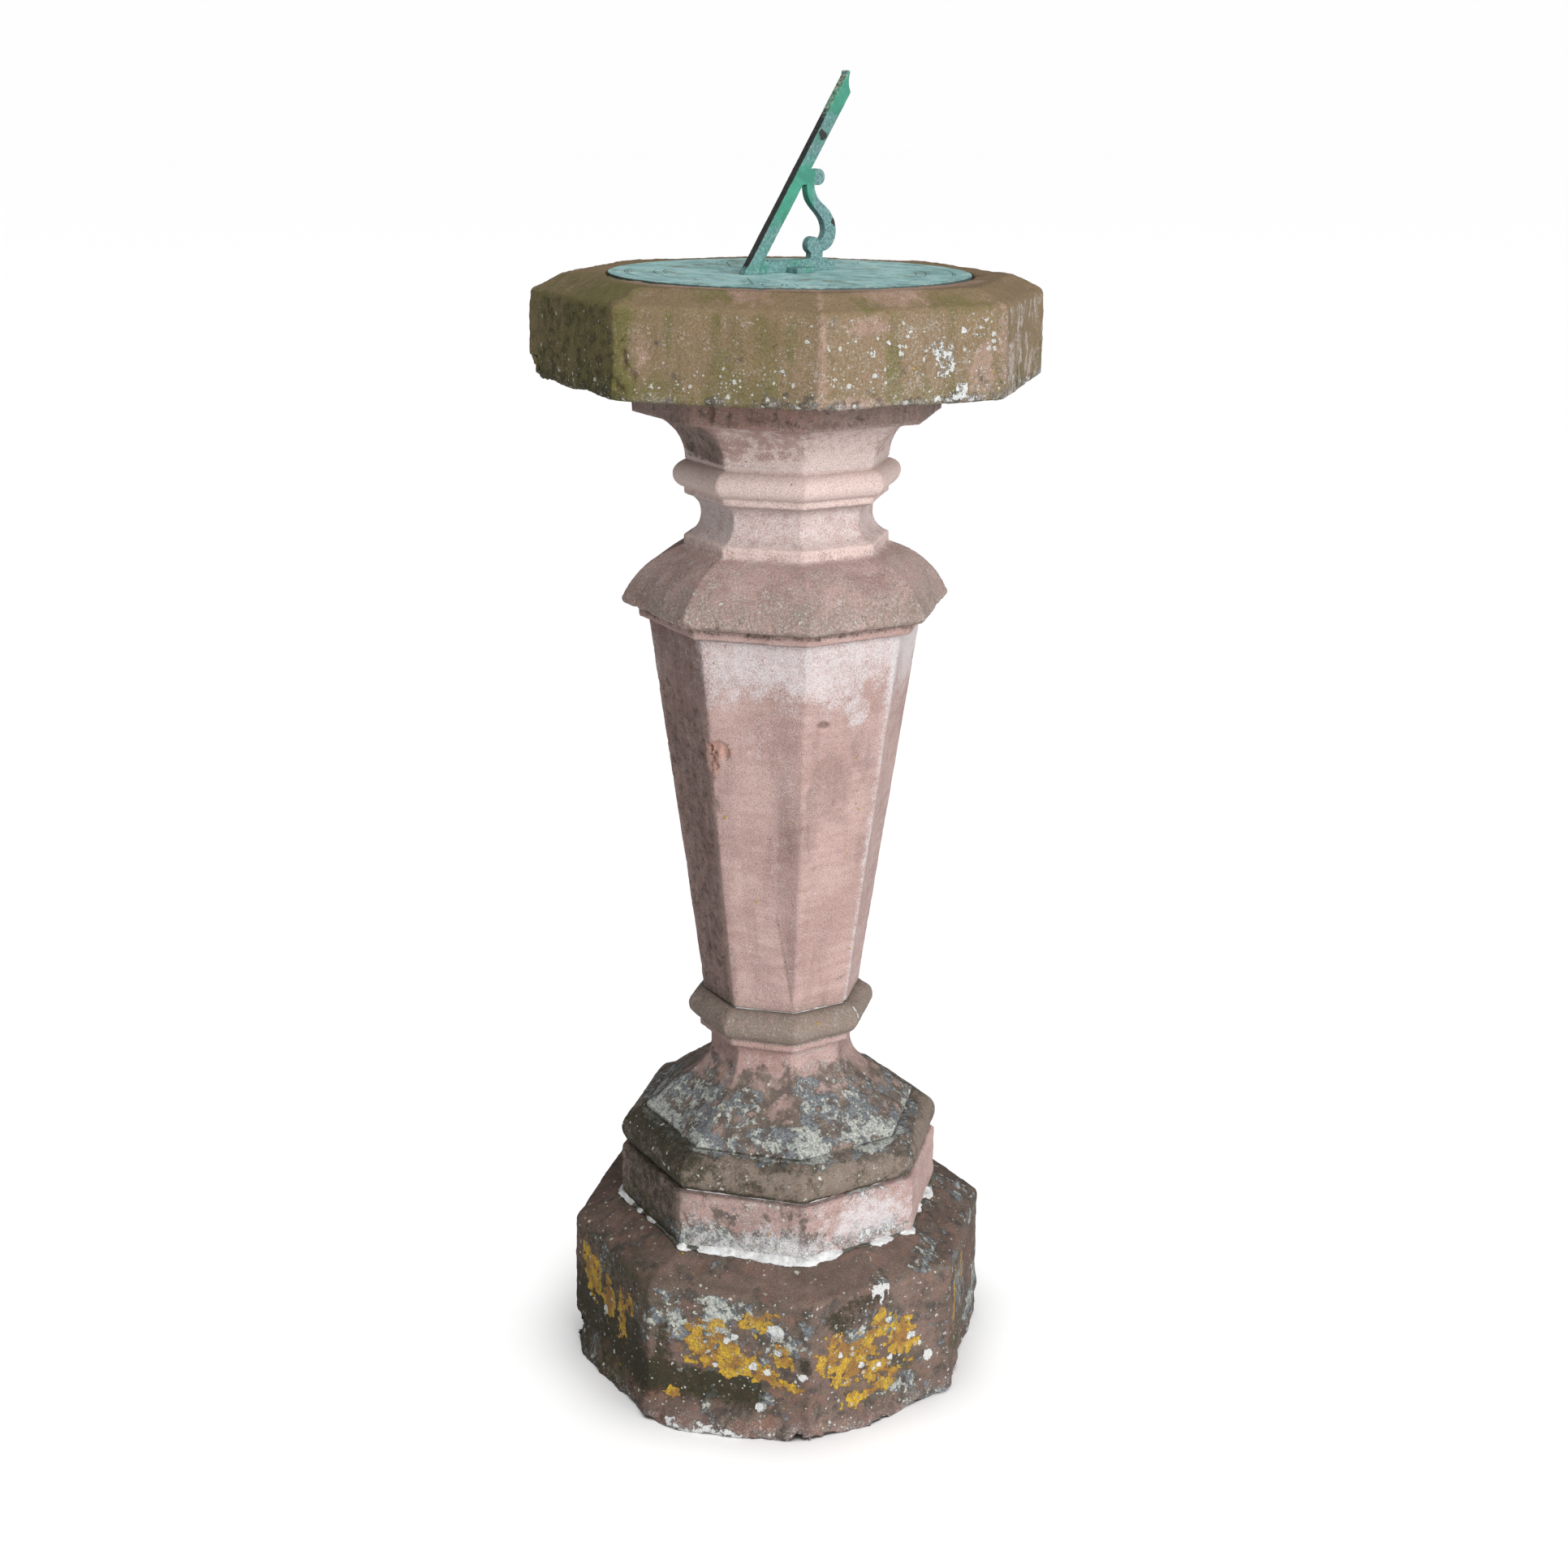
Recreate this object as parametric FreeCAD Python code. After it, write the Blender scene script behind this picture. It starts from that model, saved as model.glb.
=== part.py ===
"""Garden sundial: a pedestal of six octagonal sandstone courses, bedded in lime mortar and
dowelled through their middles, that carries a verdigris bronze dial plate and its gnomon.

Frame: millimetres, +Z up, origin at the centre of the base block's underside.
+Y is true north, the way the gnomon rises, and +X is east.
Every stone is an octagon in plan. Its outline is given as (half width, height) points, where
the half width is measured square to a side, so that twice it is the size across the flats.
"""
import FreeCAD, Part
import math
import os

Vec = FreeCAD.Vector
UP = Vec(0, 0, 1)

# ---- driving dimensions -------------------------------------------------------------------
LATITUDE = 55.0            # degrees, and the angle of the gnomon's style
STONE_TURN = 12.3          # degrees east of south to the nearest corner of the column's stones
SLAB_TURN = 10.3           # the table slab was set two degrees off the column
JOINT = 2.0                # thickness of a mortar bed
JOINT_RECESS = 2.5         # how far a bed is raked back from the narrower stone's face

BASE_HALF = 178.0          # half widths across the flats
SHOULDER_HALF = 170.5      # where the base block's sloping top begins
PLINTH_HALF = 136.4
FOOT_HALF = 130.0
SHAFT_FOOT_HALF = 65.3
SHAFT_HEAD_HALF = 109.6
CAPITAL_TOP_HALF = 121.4
SLAB_HALF = 198.7

BASE_HEIGHT = 148.0        # heights of the courses
SHOULDER_HEIGHT = 133.0    # where the base block's sloping top begins
PLINTH_HEIGHT = 50.0
FOOT_HEIGHT = 148.5
SHAFT_HEIGHT = 344.0
CAPITAL_HEIGHT = 200.0
SLAB_HEIGHT = 84.0

PLINTH_Z = BASE_HEIGHT + JOINT
FOOT_Z = PLINTH_Z + PLINTH_HEIGHT + JOINT
SHAFT_Z = FOOT_Z + FOOT_HEIGHT + JOINT
CAPITAL_Z = SHAFT_Z + SHAFT_HEIGHT + JOINT
SLAB_Z = CAPITAL_Z + CAPITAL_HEIGHT + JOINT
TABLE_Z = SLAB_Z + SLAB_HEIGHT

DOWEL_R = 10.0             # bronze dowels, run in with mortar
DOWEL_BITE = 60.0          # how deep a dowel goes into a stone
SLAB_BITE = 42.0
GROUT = 3.0                # mortar round a dowel

PLATE_R = 150.0            # the dial plate
PLATE_THICK = 4.0
RECESS_R = 152.4
RECESS_DEPTH = 4.0
BEDDING_THICK = 1.0        # mastic under the plate
PLATE_Z = TABLE_Z - RECESS_DEPTH + BEDDING_THICK
DIAL_Z = PLATE_Z + PLATE_THICK

SCREW_CIRCLE_R = 141.5     # four countersunk screws hold the plate
SCREW_TURN = 18.0          # degrees east of south to the first of them
SCREW_HEAD_R = 4.5
SCREW_SHANK_R = 2.2
SCREW_HEAD_DEPTH = 2.3
SCREW_LENGTH = 24.0
PLUG_R = 5.0               # lead plugs in the stone
PLUG_DEPTH = 26.0

GNOMON_THICK = 7.0
TOE_Y = -52.3              # where the style's edge meets the dial
GNOMON_BASE_LENGTH = 100.0
GNOMON_BASE_RISE = 10.0
LUG_SIZE = (15.0, 19.0, 4.5)   # how far out, how long and how tall
LUG_Y = TOE_Y + 44.5

CUT_DEPTH = 0.5            # engraving
RING_RADII = (104.0, 112.0, 134.0, 136.0)  # circles engraved on the dial
RING_WIDTH = 0.7
HOUR_LINE_WIDTH = 0.9
NUMERAL_HEIGHT = 14.0
NUMERAL_R = (RING_RADII[1] + RING_RADII[2]) / 2
FIRST_HOUR, LAST_HOUR = -8, 8  # from four in the morning to eight in the evening
ROMAN = ["XII", "I", "II", "III", "IIII", "V", "VI", "VII", "VIII", "IX", "X", "XI"]


# ---- helpers ------------------------------------------------------------------------------
def edges_through(points, place):
    """Edges along an outline. An entry (a, z) is joined to the last by a straight line, and an
    entry ((am, zm), (a, z)) by an arc through its first point."""
    edges = []
    last = place(*points[0])
    for entry in points[1:]:
        end = place(*end_of(entry))
        if isinstance(entry[0], tuple):
            edges.append(Part.Arc(last, place(*entry[0]), end).toShape())
        else:
            edges.append(Part.makeLine(last, end))
        last = end
    return edges


def end_of(entry):
    return entry[1] if isinstance(entry[0], tuple) else entry


def octagonal(points, base_z, turn=STONE_TURN):
    """The octagonal solid whose sides follow an outline that runs from bottom to top: the
    space that four crossed extrusions of the mirrored outline have in common."""
    right = edges_through(points, lambda a, z: Vec(a, 0, z))
    left = [edge.mirror(Vec(0, 0, 0), Vec(1, 0, 0)) for edge in right]
    foot_a, foot_z = points[0]
    head_a, head_z = end_of(points[-1])
    bottom = Part.makeLine(Vec(-foot_a, 0, foot_z), Vec(foot_a, 0, foot_z))
    top = Part.makeLine(Vec(head_a, 0, head_z), Vec(-head_a, 0, head_z))
    outline = Part.Wire(Part.__sortEdges__([bottom, top] + right + left))
    reach = 2 * BASE_HALF
    band = Part.Face(outline).extrude(Vec(0, 2 * reach, 0))
    band.translate(Vec(0, -reach, base_z))
    first_flat = turn + 22.5
    solid = None
    for quarter in range(4):
        crossed = band.copy()
        crossed.rotate(Vec(0, 0, 0), UP, first_flat + 45 * quarter)
        solid = crossed if solid is None else solid.common(crossed)
    return solid.removeSplitter()


def cylinder(radius, z_low, z_high, x=0.0, y=0.0):
    return Part.makeCylinder(radius, z_high - z_low, Vec(x, y, z_low))


def tube(outer, inner, z_low, z_high):
    return cylinder(outer, z_low, z_high).cut(cylinder(inner, z_low - 1, z_high + 1))


def from_south(radius, degrees):
    """The point at a radius, turned from south towards east."""
    angle = math.radians(degrees)
    return radius * math.sin(angle), -radius * math.cos(angle)


def screw_places():
    return [from_south(SCREW_CIRCLE_R, SCREW_TURN + 90 * k) for k in range(4)]


# ---- stones -------------------------------------------------------------------------------
def base_block():
    """The block that stands on the ground, its top weathered down to a rounded arris."""
    outline = [(BASE_HALF, 0), (176.6, 123.5),
               ((175.3, 129.6), (SHOULDER_HALF, SHOULDER_HEIGHT)), (138.0, BASE_HEIGHT)]
    return octagonal(outline, 0)


def plinth_stone():
    """The upright octagonal plinth."""
    edge = 2.0
    top_half = 135.7
    outline = [(PLINTH_HALF, 0), (top_half, PLINTH_HEIGHT - edge),
               (top_half - edge, PLINTH_HEIGHT)]
    return octagonal(outline, PLINTH_Z)


def foot_stone():
    """The moulded foot: a bold roll, a shoulder, a long hollow that sweeps up to a fillet,
    and the smaller roll that the shaft stands on."""
    outline = [(FOOT_HALF, 0), ((135.8, 16.0), (117.0, 33.5)),
               (115.0, 33.5), (115.0, 37.5), (73.9, 70.5),
               ((62.9, 84.0), (58.9, 101.0)), ((60.1, 108.0), (64.5, 113.0)),
               (68.6, 114.5), (68.6, 121.6), (66.4, 121.6),
               ((78.2, 135.0), (66.4, FOOT_HEIGHT))]
    return octagonal(outline, FOOT_Z)


def shaft_stone():
    """The plain shaft, which widens steadily upwards."""
    return octagonal([(SHAFT_FOOT_HALF, 0), (SHAFT_HEAD_HALF, SHAFT_HEIGHT)], SHAFT_Z)


def capital_stone():
    """The capital: a fillet, an overhanging bell, a hollow neck between two fillets, a roll,
    and a hollow that sweeps out to the square fillet under the table."""
    outline = [(117.5, 0), (117.5, 8.0), (127.5, 10.8), ((130.4, 13.0), (130.9, 16.4)),
               ((112.5, 43.6), (84.5, 60.5)), (82.0, 61.5), (82.0, 69.0), (80.8, 70.5),
               ((72.0, 76.8), (68.3, 90.0)), ((71.2, 99.2), (78.8, 103.8)),
               (81.2, 105.4), (81.2, 110.6), (79.2, 110.6),
               ((90.4, 121.8), (79.2, 133.0)), (80.8, 135.0),
               ((90.5, 160.6), (113.5, 173.4)), (CAPITAL_TOP_HALF, 174.2),
               (CAPITAL_TOP_HALF, CAPITAL_HEIGHT)]
    return octagonal(outline, CAPITAL_Z)


def table_slab():
    """The table: a thick slab with a broad bevel round its top and a round sinking for the
    dial plate."""
    rim_half = 172.8
    outline = [(194.5, 0), ((197.5, 1.3), (SLAB_HALF, 4.5)), (197.9, 67.5),
               ((196.5, 71.2), (192.5, 73.8)), (rim_half, SLAB_HEIGHT)]
    slab = octagonal(outline, SLAB_Z, SLAB_TURN)
    return slab.cut(cylinder(RECESS_R, TABLE_Z - RECESS_DEPTH, TABLE_Z + 1))


def with_dowel_hole(stone, low_z, high_z):
    return stone.cut(cylinder(DOWEL_R + GROUT, low_z, high_z))


# ---- mortar and dowels --------------------------------------------------------------------
def mortar_bed(half, base_z, low_z, high_z):
    """A bed between two stones, with the grout that runs round the dowel in the hole."""
    bed = octagonal([(half, 0), (half, JOINT)], base_z)
    bed = bed.fuse(cylinder(DOWEL_R + GROUT, low_z, high_z)).removeSplitter()
    return bed.cut(cylinder(DOWEL_R, low_z - 1, high_z + 1))


def mortar_pointing():
    """The bead of lime mortar pressed round the plinth's foot, over the sloping stone."""
    bed_half = PLINTH_HALF - JOINT_RECESS
    slope = (BASE_HEIGHT - SHOULDER_HEIGHT) / (SHOULDER_HALF - 138.0)
    reach = 8.0
    toe = PLINTH_HALF + reach
    toe_z = BASE_HEIGHT - slope * (toe - 138.0)
    # The bead is what lies outside the plinth, the bed and the slope of the block.
    ring = octagonal([(toe, toe_z), (toe, toe_z + 1.5),
                      ((141.2, 152.0), (PLINTH_HALF + 0.5, 155.5))], 0)
    ring = ring.cut(octagonal([(bed_half, toe_z - 1), (bed_half, 160.0)], 0))
    ring = ring.cut(plinth_stone())
    return ring.cut(base_block())


# ---- dial plate ---------------------------------------------------------------------------
def countersunk_hole(x, y):
    shank = cylinder(SCREW_SHANK_R + 0.2, PLATE_Z - 1, DIAL_Z + 1, x, y)
    sink_z = DIAL_Z - SCREW_HEAD_DEPTH
    sink = Part.makeCone(SCREW_SHANK_R + 0.2, SCREW_HEAD_R + 0.2, SCREW_HEAD_DEPTH,
                         Vec(x, y, sink_z))
    return shank.fuse(sink)


def groove(x, y, heading, start, end, width):
    """A cutter for an engraved line that starts and ends at distances from (x, y) along a
    heading, in degrees from north towards east."""
    cutter = Part.makeBox(width, end - start, 2 * CUT_DEPTH,
                          Vec(-width / 2, start, DIAL_Z - CUT_DEPTH))
    cutter.rotate(Vec(0, 0, 0), UP, -heading)
    cutter.translate(Vec(x, y, 0))
    return cutter


def hour_heading(hour):
    """The direction of an hour's shadow on a horizontal dial, from north towards east."""
    turn = math.radians(15 * hour)
    tilt = math.sin(math.radians(LATITUDE))
    return math.degrees(math.atan2(tilt * math.sin(turn), math.cos(turn)))


def noon_side(hour):
    """Morning lines start at the gnomon's west edge and evening lines at its east edge."""
    return math.copysign(GNOMON_THICK / 2, hour) if hour else 0.0


def reach_to(radius, x, heading):
    """How far a line from the toe runs before it meets a circle about the dial's centre."""
    angle = math.radians(heading)
    along = -(x * math.sin(angle) + TOE_Y * math.cos(angle))
    return along + math.sqrt(along ** 2 + radius ** 2 - x ** 2 - TOE_Y ** 2)


def hour_lines():
    cutters = []
    for step in range(4 * FIRST_HOUR, 4 * LAST_HOUR + 1):
        hour = step / 4
        if step % 4 == 0:
            inner_r, width = RING_RADII[0] - 34.0, HOUR_LINE_WIDTH
        elif step % 4 == 2:
            inner_r, width = RING_RADII[0] - 6.0, RING_WIDTH
        else:
            inner_r, width = RING_RADII[0], RING_WIDTH
        x = noon_side(hour)
        heading = hour_heading(hour)
        start = reach_to(inner_r, x, heading)
        end = reach_to(RING_RADII[1], x, heading)
        cutters.append(groove(x, TOE_Y, heading, start, end, width))
    return cutters


def numeral_strokes(text):
    """The strokes of a Roman numeral: centre, lean in degrees, and width. A V is read with
    its point towards the dial's centre."""
    thick, thin = 1.5, 0.8
    lean = 17.0
    shapes = {"I": (3.4, [(0.0, 0.0, thick)]),
              "V": (8.0, [(-1.9, -lean, thick), (1.9, lean, thin)]),
              "X": (8.0, [(0.0, -lean - 6, thick), (0.0, lean + 6, thin)])}
    total = sum(shapes[letter][0] for letter in text)
    at = -total / 2
    strokes = []
    for letter in text:
        advance, parts = shapes[letter]
        for offset, slant, width in parts:
            strokes.append((at + advance / 2 + offset, slant, width))
        at += advance
    return strokes


def numerals():
    cutters = []
    for hour in range(FIRST_HOUR, LAST_HOUR + 1):
        x = noon_side(hour)
        heading = hour_heading(hour)
        reach = reach_to(NUMERAL_R, x, heading)
        angle = math.radians(heading)
        place_x = x + reach * math.sin(angle)
        place_y = TOE_Y + reach * math.cos(angle)
        facing = math.degrees(math.atan2(place_x, place_y))
        for offset, slant, width in numeral_strokes(ROMAN[hour % 12]):
            stroke = groove(0, 0, slant, -NUMERAL_HEIGHT / 2, NUMERAL_HEIGHT / 2, width)
            stroke.translate(Vec(offset, NUMERAL_R, 0))
            stroke.rotate(Vec(0, 0, 0), UP, -facing)
            cutters.append(stroke)
    return cutters


def engraved_circles():
    low, high = DIAL_Z - CUT_DEPTH, DIAL_Z + 1
    return [tube(r + RING_WIDTH / 2, r - RING_WIDTH / 2, low, high) for r in RING_RADII]


def dial_plate():
    """The engraved bronze plate, delineated for the latitude."""
    plate = cylinder(PLATE_R, PLATE_Z, DIAL_Z)
    plate = plate.makeChamfer(0.5, [e for e in plate.Edges if len(e.Vertexes) == 1])
    holes = [countersunk_hole(x, y) for x, y in screw_places()]
    holes += [cylinder(SCREW_SHANK_R, PLATE_Z - 1, DIAL_Z + 1, x, y) for x, y in lug_places()]
    plate = plate.cut(holes)
    return plate.cut(engraved_circles() + hour_lines() + numerals())


def plate_bedding():
    bedding = cylinder(PLATE_R - 2, PLATE_Z - BEDDING_THICK, PLATE_Z)
    holes = [cylinder(PLUG_R, PLATE_Z - 2, PLATE_Z + 1, x, y) for x, y in screw_places()]
    holes += [cylinder(SCREW_SHANK_R, PLATE_Z - 2, PLATE_Z + 1, x, y)
              for x, y in lug_places()]
    return bedding.cut(holes)


def countersunk_screw(x, y, top_z, length):
    head = Part.makeCone(SCREW_SHANK_R, SCREW_HEAD_R, SCREW_HEAD_DEPTH,
                         Vec(x, y, top_z - SCREW_HEAD_DEPTH))
    shank = cylinder(SCREW_SHANK_R, top_z - length, top_z - SCREW_HEAD_DEPTH, x, y)
    slot = Part.makeBox(2 * SCREW_HEAD_R, 1.1, 1.2, Vec(x - SCREW_HEAD_R, y - 0.55, top_z - 1))
    return head.fuse(shank).removeSplitter().cut(slot)


def plate_screws():
    return [countersunk_screw(x, y, DIAL_Z - 0.1, SCREW_LENGTH) for x, y in screw_places()]


def plug_hole(x, y):
    return cylinder(PLUG_R, PLATE_Z - BEDDING_THICK - PLUG_DEPTH, PLATE_Z, x, y)


def screw_plugs():
    """Lead plugs, cast in the stone, that the screws bite into."""
    screws = plate_screws()
    return [plug_hole(x, y).cut(screw) for (x, y), screw in zip(screw_places(), screws)]


# ---- gnomon -------------------------------------------------------------------------------
def in_gnomon_plane(along, height):
    """A point of the gnomon's west face, from the style's toe northwards and up."""
    return Vec(-GNOMON_THICK / 2, TOE_Y + along, DIAL_Z + height)


def gnomon_plate(wire_edges):
    face = Part.Face(Part.Wire(wire_edges))
    return face.extrude(Vec(GNOMON_THICK, 0, 0))


def gnomon_outline(points):
    return gnomon_plate(edges_through(points + [points[0]], in_gnomon_plane))


def disc_on_gnomon(along, height, radius):
    return Part.makeCylinder(radius, GNOMON_THICK, in_gnomon_plane(along, height),
                             Vec(1, 0, 0))


def style_bar():
    """The bar that casts the shadow. Its front edge is parallel to the Earth's axis, and its
    head has a blunt nose with a hollow and a beak behind."""
    rise = math.tan(math.radians(LATITUDE))
    nose_height = 156.0
    return gnomon_outline([(0, 0), (nose_height / rise, nose_height),
                           ((110.9, 158.9), (112.2, 156.0)), ((111.2, 150.6), (111.9, 145.6)),
                           (113.6, 141.7), (20.9, GNOMON_BASE_RISE), (13.8, 0)])


def base_bar():
    rise = GNOMON_BASE_RISE
    length = GNOMON_BASE_LENGTH
    return gnomon_outline([(3.0, 0), (length, 0), (length, 1.2),
                           ((98.1, 5.6), (93.7, 8.7)), (88.0, rise), (66.0, rise),
                           (53.0, rise - 0.2), (36.2, rise - 0.6), (20.0, rise)])


def neck():
    return gnomon_outline([(71.6, 5.0), (86.0, 5.0), (85.0, 10.4), (85.4, 17.0),
                           (73.0, 19.0), (72.7, 13.0)])


def scroll():
    """The S-shaped support behind the bar."""
    outer = [(75.4, 72.0), (75.6, 65.0), (79.0, 58.8), (89.1, 50.7), (96.6, 42.0),
             (99.5, 32.4), (96.8, 22.6), (85.2, 15.8)]
    inner = [(81.0, 23.6), (86.4, 27.6), (87.6, 34.3), (83.6, 42.6), (75.6, 50.5),
             (70.0, 57.0), (67.4, 64.5), (67.4, 72.0)]
    curves = []
    for points in (outer, inner):
        curve = Part.BSplineCurve()
        curve.interpolate([in_gnomon_plane(*point) for point in points])
        curves.append(curve.toShape())
    inside = (78.0, 18.5)
    foot = edges_through([outer[-1], inside, inner[0]], in_gnomon_plane)
    head = edges_through([inner[-1], outer[0]], in_gnomon_plane)
    return gnomon_plate([curves[0]] + foot + [curves[1]] + head)


def lug_places():
    out, length, _ = LUG_SIZE
    x = GNOMON_THICK / 2 + out / 2 + 1.0
    return [(x, LUG_Y + length / 2), (-x, LUG_Y + length / 2)]


def lug():
    """The flat foot that runs under both cheeks of the casting, for its two screws."""
    out, length, tall = LUG_SIZE
    width = GNOMON_THICK + 2 * out
    foot = Part.makeBox(width, length, tall, Vec(-width / 2, LUG_Y, DIAL_Z))
    return foot.makeChamfer(0.8, [e for e in foot.Edges if e.CenterOfMass.z > DIAL_Z + tall - 0.1])


def gnomon():
    """The open bronze casting: bar, base, S-scroll with a volute at each end, and lugs."""
    casting = style_bar()
    for piece in (base_bar(), neck(), scroll(), disc_on_gnomon(79.8, 75.3, 6.5),
                  disc_on_gnomon(75.3, 20.8, 6.9), top_web(), lug()):
        casting = casting.fuse(piece)
    casting = casting.removeSplitter()
    for x, y in lug_places():
        casting = casting.cut(lug_screw_hole(x, y))
    return casting


def top_web():
    """The web that joins the bar, the upper volute and the scroll's head."""
    return gnomon_outline([(60.0, 69.2), (78.6, 69.2), (78.6, 81.6), (69.0, 81.6)])


def lug_screw_hole(x, y):
    top = DIAL_Z + LUG_SIZE[2]
    shank = cylinder(SCREW_SHANK_R, DIAL_Z - 1, top, x, y)
    sink = Part.makeCone(SCREW_SHANK_R, SCREW_HEAD_R, SCREW_HEAD_DEPTH,
                         Vec(x, y, top - SCREW_HEAD_DEPTH))
    return shank.fuse(sink)


def gnomon_screws():
    """Countersunk screws through the lugs, tapped into the dial plate."""
    top = DIAL_Z + LUG_SIZE[2]
    length = LUG_SIZE[2] + PLATE_THICK + BEDDING_THICK / 2
    return [countersunk_screw(x, y, top, length) for x, y in lug_places()]


# ---- assembly -----------------------------------------------------------------------------
def build():
    foot_hole = (BASE_HEIGHT - DOWEL_BITE, FOOT_Z + DOWEL_BITE)
    shaft_hole = (SHAFT_Z - JOINT - DOWEL_BITE, SHAFT_Z + DOWEL_BITE)
    capital_hole = (CAPITAL_Z - JOINT - DOWEL_BITE, CAPITAL_Z + DOWEL_BITE)
    slab_hole = (SLAB_Z - JOINT - DOWEL_BITE, SLAB_Z + SLAB_BITE)

    foot = with_dowel_hole(with_dowel_hole(foot_stone(), *foot_hole), *shaft_hole)
    shaft = with_dowel_hole(with_dowel_hole(shaft_stone(), *shaft_hole), *capital_hole)
    capital = with_dowel_hole(with_dowel_hole(capital_stone(), *capital_hole), *slab_hole)
    slab = with_dowel_hole(table_slab(), *slab_hole)
    slab = slab.cut([plug_hole(x, y) for x, y in screw_places()])

    plinth_bed_half = FOOT_HALF - JOINT_RECESS
    plinth_bed = octagonal([(plinth_bed_half, 0), (plinth_bed_half, JOINT)], FOOT_Z - JOINT)
    plinth_bed = plinth_bed.cut(cylinder(DOWEL_R + GROUT, *foot_hole))
    return {
        "base_block": with_dowel_hole(base_block(), *foot_hole),
        "base_mortar_bed": mortar_bed(PLINTH_HALF - JOINT_RECESS, BASE_HEIGHT, *foot_hole),
        "mortar_pointing": mortar_pointing(),
        "plinth_stone": with_dowel_hole(plinth_stone(), *foot_hole),
        "plinth_mortar_bed": plinth_bed,
        "foot_stone": foot,
        "foot_dowel": cylinder(DOWEL_R, *foot_hole),
        "shaft_mortar_bed": mortar_bed(SHAFT_FOOT_HALF - JOINT_RECESS, SHAFT_Z - JOINT,
                                       *shaft_hole),
        "shaft_dowel": cylinder(DOWEL_R, *shaft_hole),
        "shaft_stone": shaft,
        "capital_mortar_bed": mortar_bed(SHAFT_HEAD_HALF - JOINT_RECESS, CAPITAL_Z - JOINT,
                                         *capital_hole),
        "capital_dowel": cylinder(DOWEL_R, *capital_hole),
        "capital_stone": capital,
        "slab_mortar_bed": mortar_bed(CAPITAL_TOP_HALF - JOINT_RECESS, SLAB_Z - JOINT,
                                      *slab_hole),
        "slab_dowel": cylinder(DOWEL_R, *slab_hole),
        "table_slab": slab,
        "screw_plugs": Part.makeCompound(screw_plugs()),
        "plate_bedding": plate_bedding(),
        "dial_plate": dial_plate(),
        "plate_screws": Part.makeCompound(plate_screws()),
        "gnomon": gnomon(),
        "gnomon_screws": Part.makeCompound(gnomon_screws()),
    }


os.makedirs("parts", exist_ok=True)
for node, shape in build().items():
    shape.exportStep("parts/" + node + ".step")
    print(node, "solids", len(shape.Solids), "volume", round(shape.Volume / 1000, 1), "cm3",
          "valid", shape.isValid())
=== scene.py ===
"""Garden sundial: the looks of the stones, the dial and its gnomon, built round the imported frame.

Units are metres, except that the methods of Stone and Tree take millimetres. +Z is up, +Y is
north along the gnomon. Places on a stone are given by the angle from south towards east, in
degrees, and by the height above the ground.
"""
import itertools
import math

import bpy
import numpy as np
from mathutils import Matrix, Vector


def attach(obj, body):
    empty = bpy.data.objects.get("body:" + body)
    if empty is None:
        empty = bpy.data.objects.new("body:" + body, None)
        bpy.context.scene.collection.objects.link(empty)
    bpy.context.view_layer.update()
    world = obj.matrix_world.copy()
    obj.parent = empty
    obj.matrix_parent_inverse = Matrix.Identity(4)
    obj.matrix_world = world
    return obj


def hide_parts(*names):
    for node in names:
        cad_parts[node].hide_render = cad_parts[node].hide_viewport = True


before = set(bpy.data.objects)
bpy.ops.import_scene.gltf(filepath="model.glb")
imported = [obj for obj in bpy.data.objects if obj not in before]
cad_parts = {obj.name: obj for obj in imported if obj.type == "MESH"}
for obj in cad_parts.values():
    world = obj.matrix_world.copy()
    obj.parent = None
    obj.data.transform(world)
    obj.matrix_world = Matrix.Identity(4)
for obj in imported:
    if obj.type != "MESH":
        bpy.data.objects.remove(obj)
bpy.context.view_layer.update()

MM = 0.001
REMESH_DEPTH = 8           # the even meshes are cut from a grid of 2**8 cells
LARGEST_REMESH = 0.99      # the most of that grid that a stone may fill
NEAR_AXIS = 0.01           # nearer than this, directions away from the axis die out

# ---- camera and light ---------------------------------------------------------------------
CAMERA_AZIMUTH = 48.7      # degrees from south towards east
CAMERA_DISTANCE = 1.856    # from the sundial's axis
CAMERA_HEIGHT = 1.1333
CAMERA_PITCH = 17.66       # degrees downwards
CAMERA_ROLL = 0.66
CAMERA_LENS = 50.50        # on a 36 mm sensor

FLOOR_WHITE = (0.93, 0.93, 0.93)
FLOOR_HALF = 30.0          # so far that its edge is lost in the white behind it
LAMP_DISTANCE = 3.0        # only places the lamp: a sun's light doesn't depend on it


# ---- noise --------------------------------------------------------------------------------
def lattice_noise(points, seed):
    """Smooth noise from -1 to 1, at points given in lattice cells."""
    cell = np.floor(points).astype(np.int64)
    part = points - cell
    part = part * part * (3 - 2 * part)
    total = np.zeros(len(points))
    for corner in itertools.product((0, 1), repeat=3):
        at = cell + corner
        mixed = (at[:, 0] * 73856093) ^ (at[:, 1] * 19349663) ^ (at[:, 2] * 83492791)
        mixed = (mixed ^ (seed * 2654435761)) & 0x7FFFFFFF
        mixed = ((mixed ^ (mixed >> 13)) * 1274126177) & 0x7FFFFFFF
        mixed = ((mixed ^ (mixed >> 11)) * 1103515245) & 0x7FFFFFFF
        value = (mixed >> 8) / float(0x7FFFFF) * 2 - 1
        weight = np.prod(np.where(np.array(corner) == 1, part, 1 - part), axis=1)
        total += value * weight
    return total


def fractal(points, size, seed, octaves=3, gain=0.5):
    """Layered noise, about -1 to 1, whose largest features are size metres across."""
    total = np.zeros(len(points))
    strength, reach = 1.0, 0.0
    for octave in range(octaves):
        total += strength * lattice_noise(points / size * 2 ** octave + 17.3 * octave,
                                          seed + octave)
        reach += strength
        strength *= gain
    return total / reach * 1.6


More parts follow.
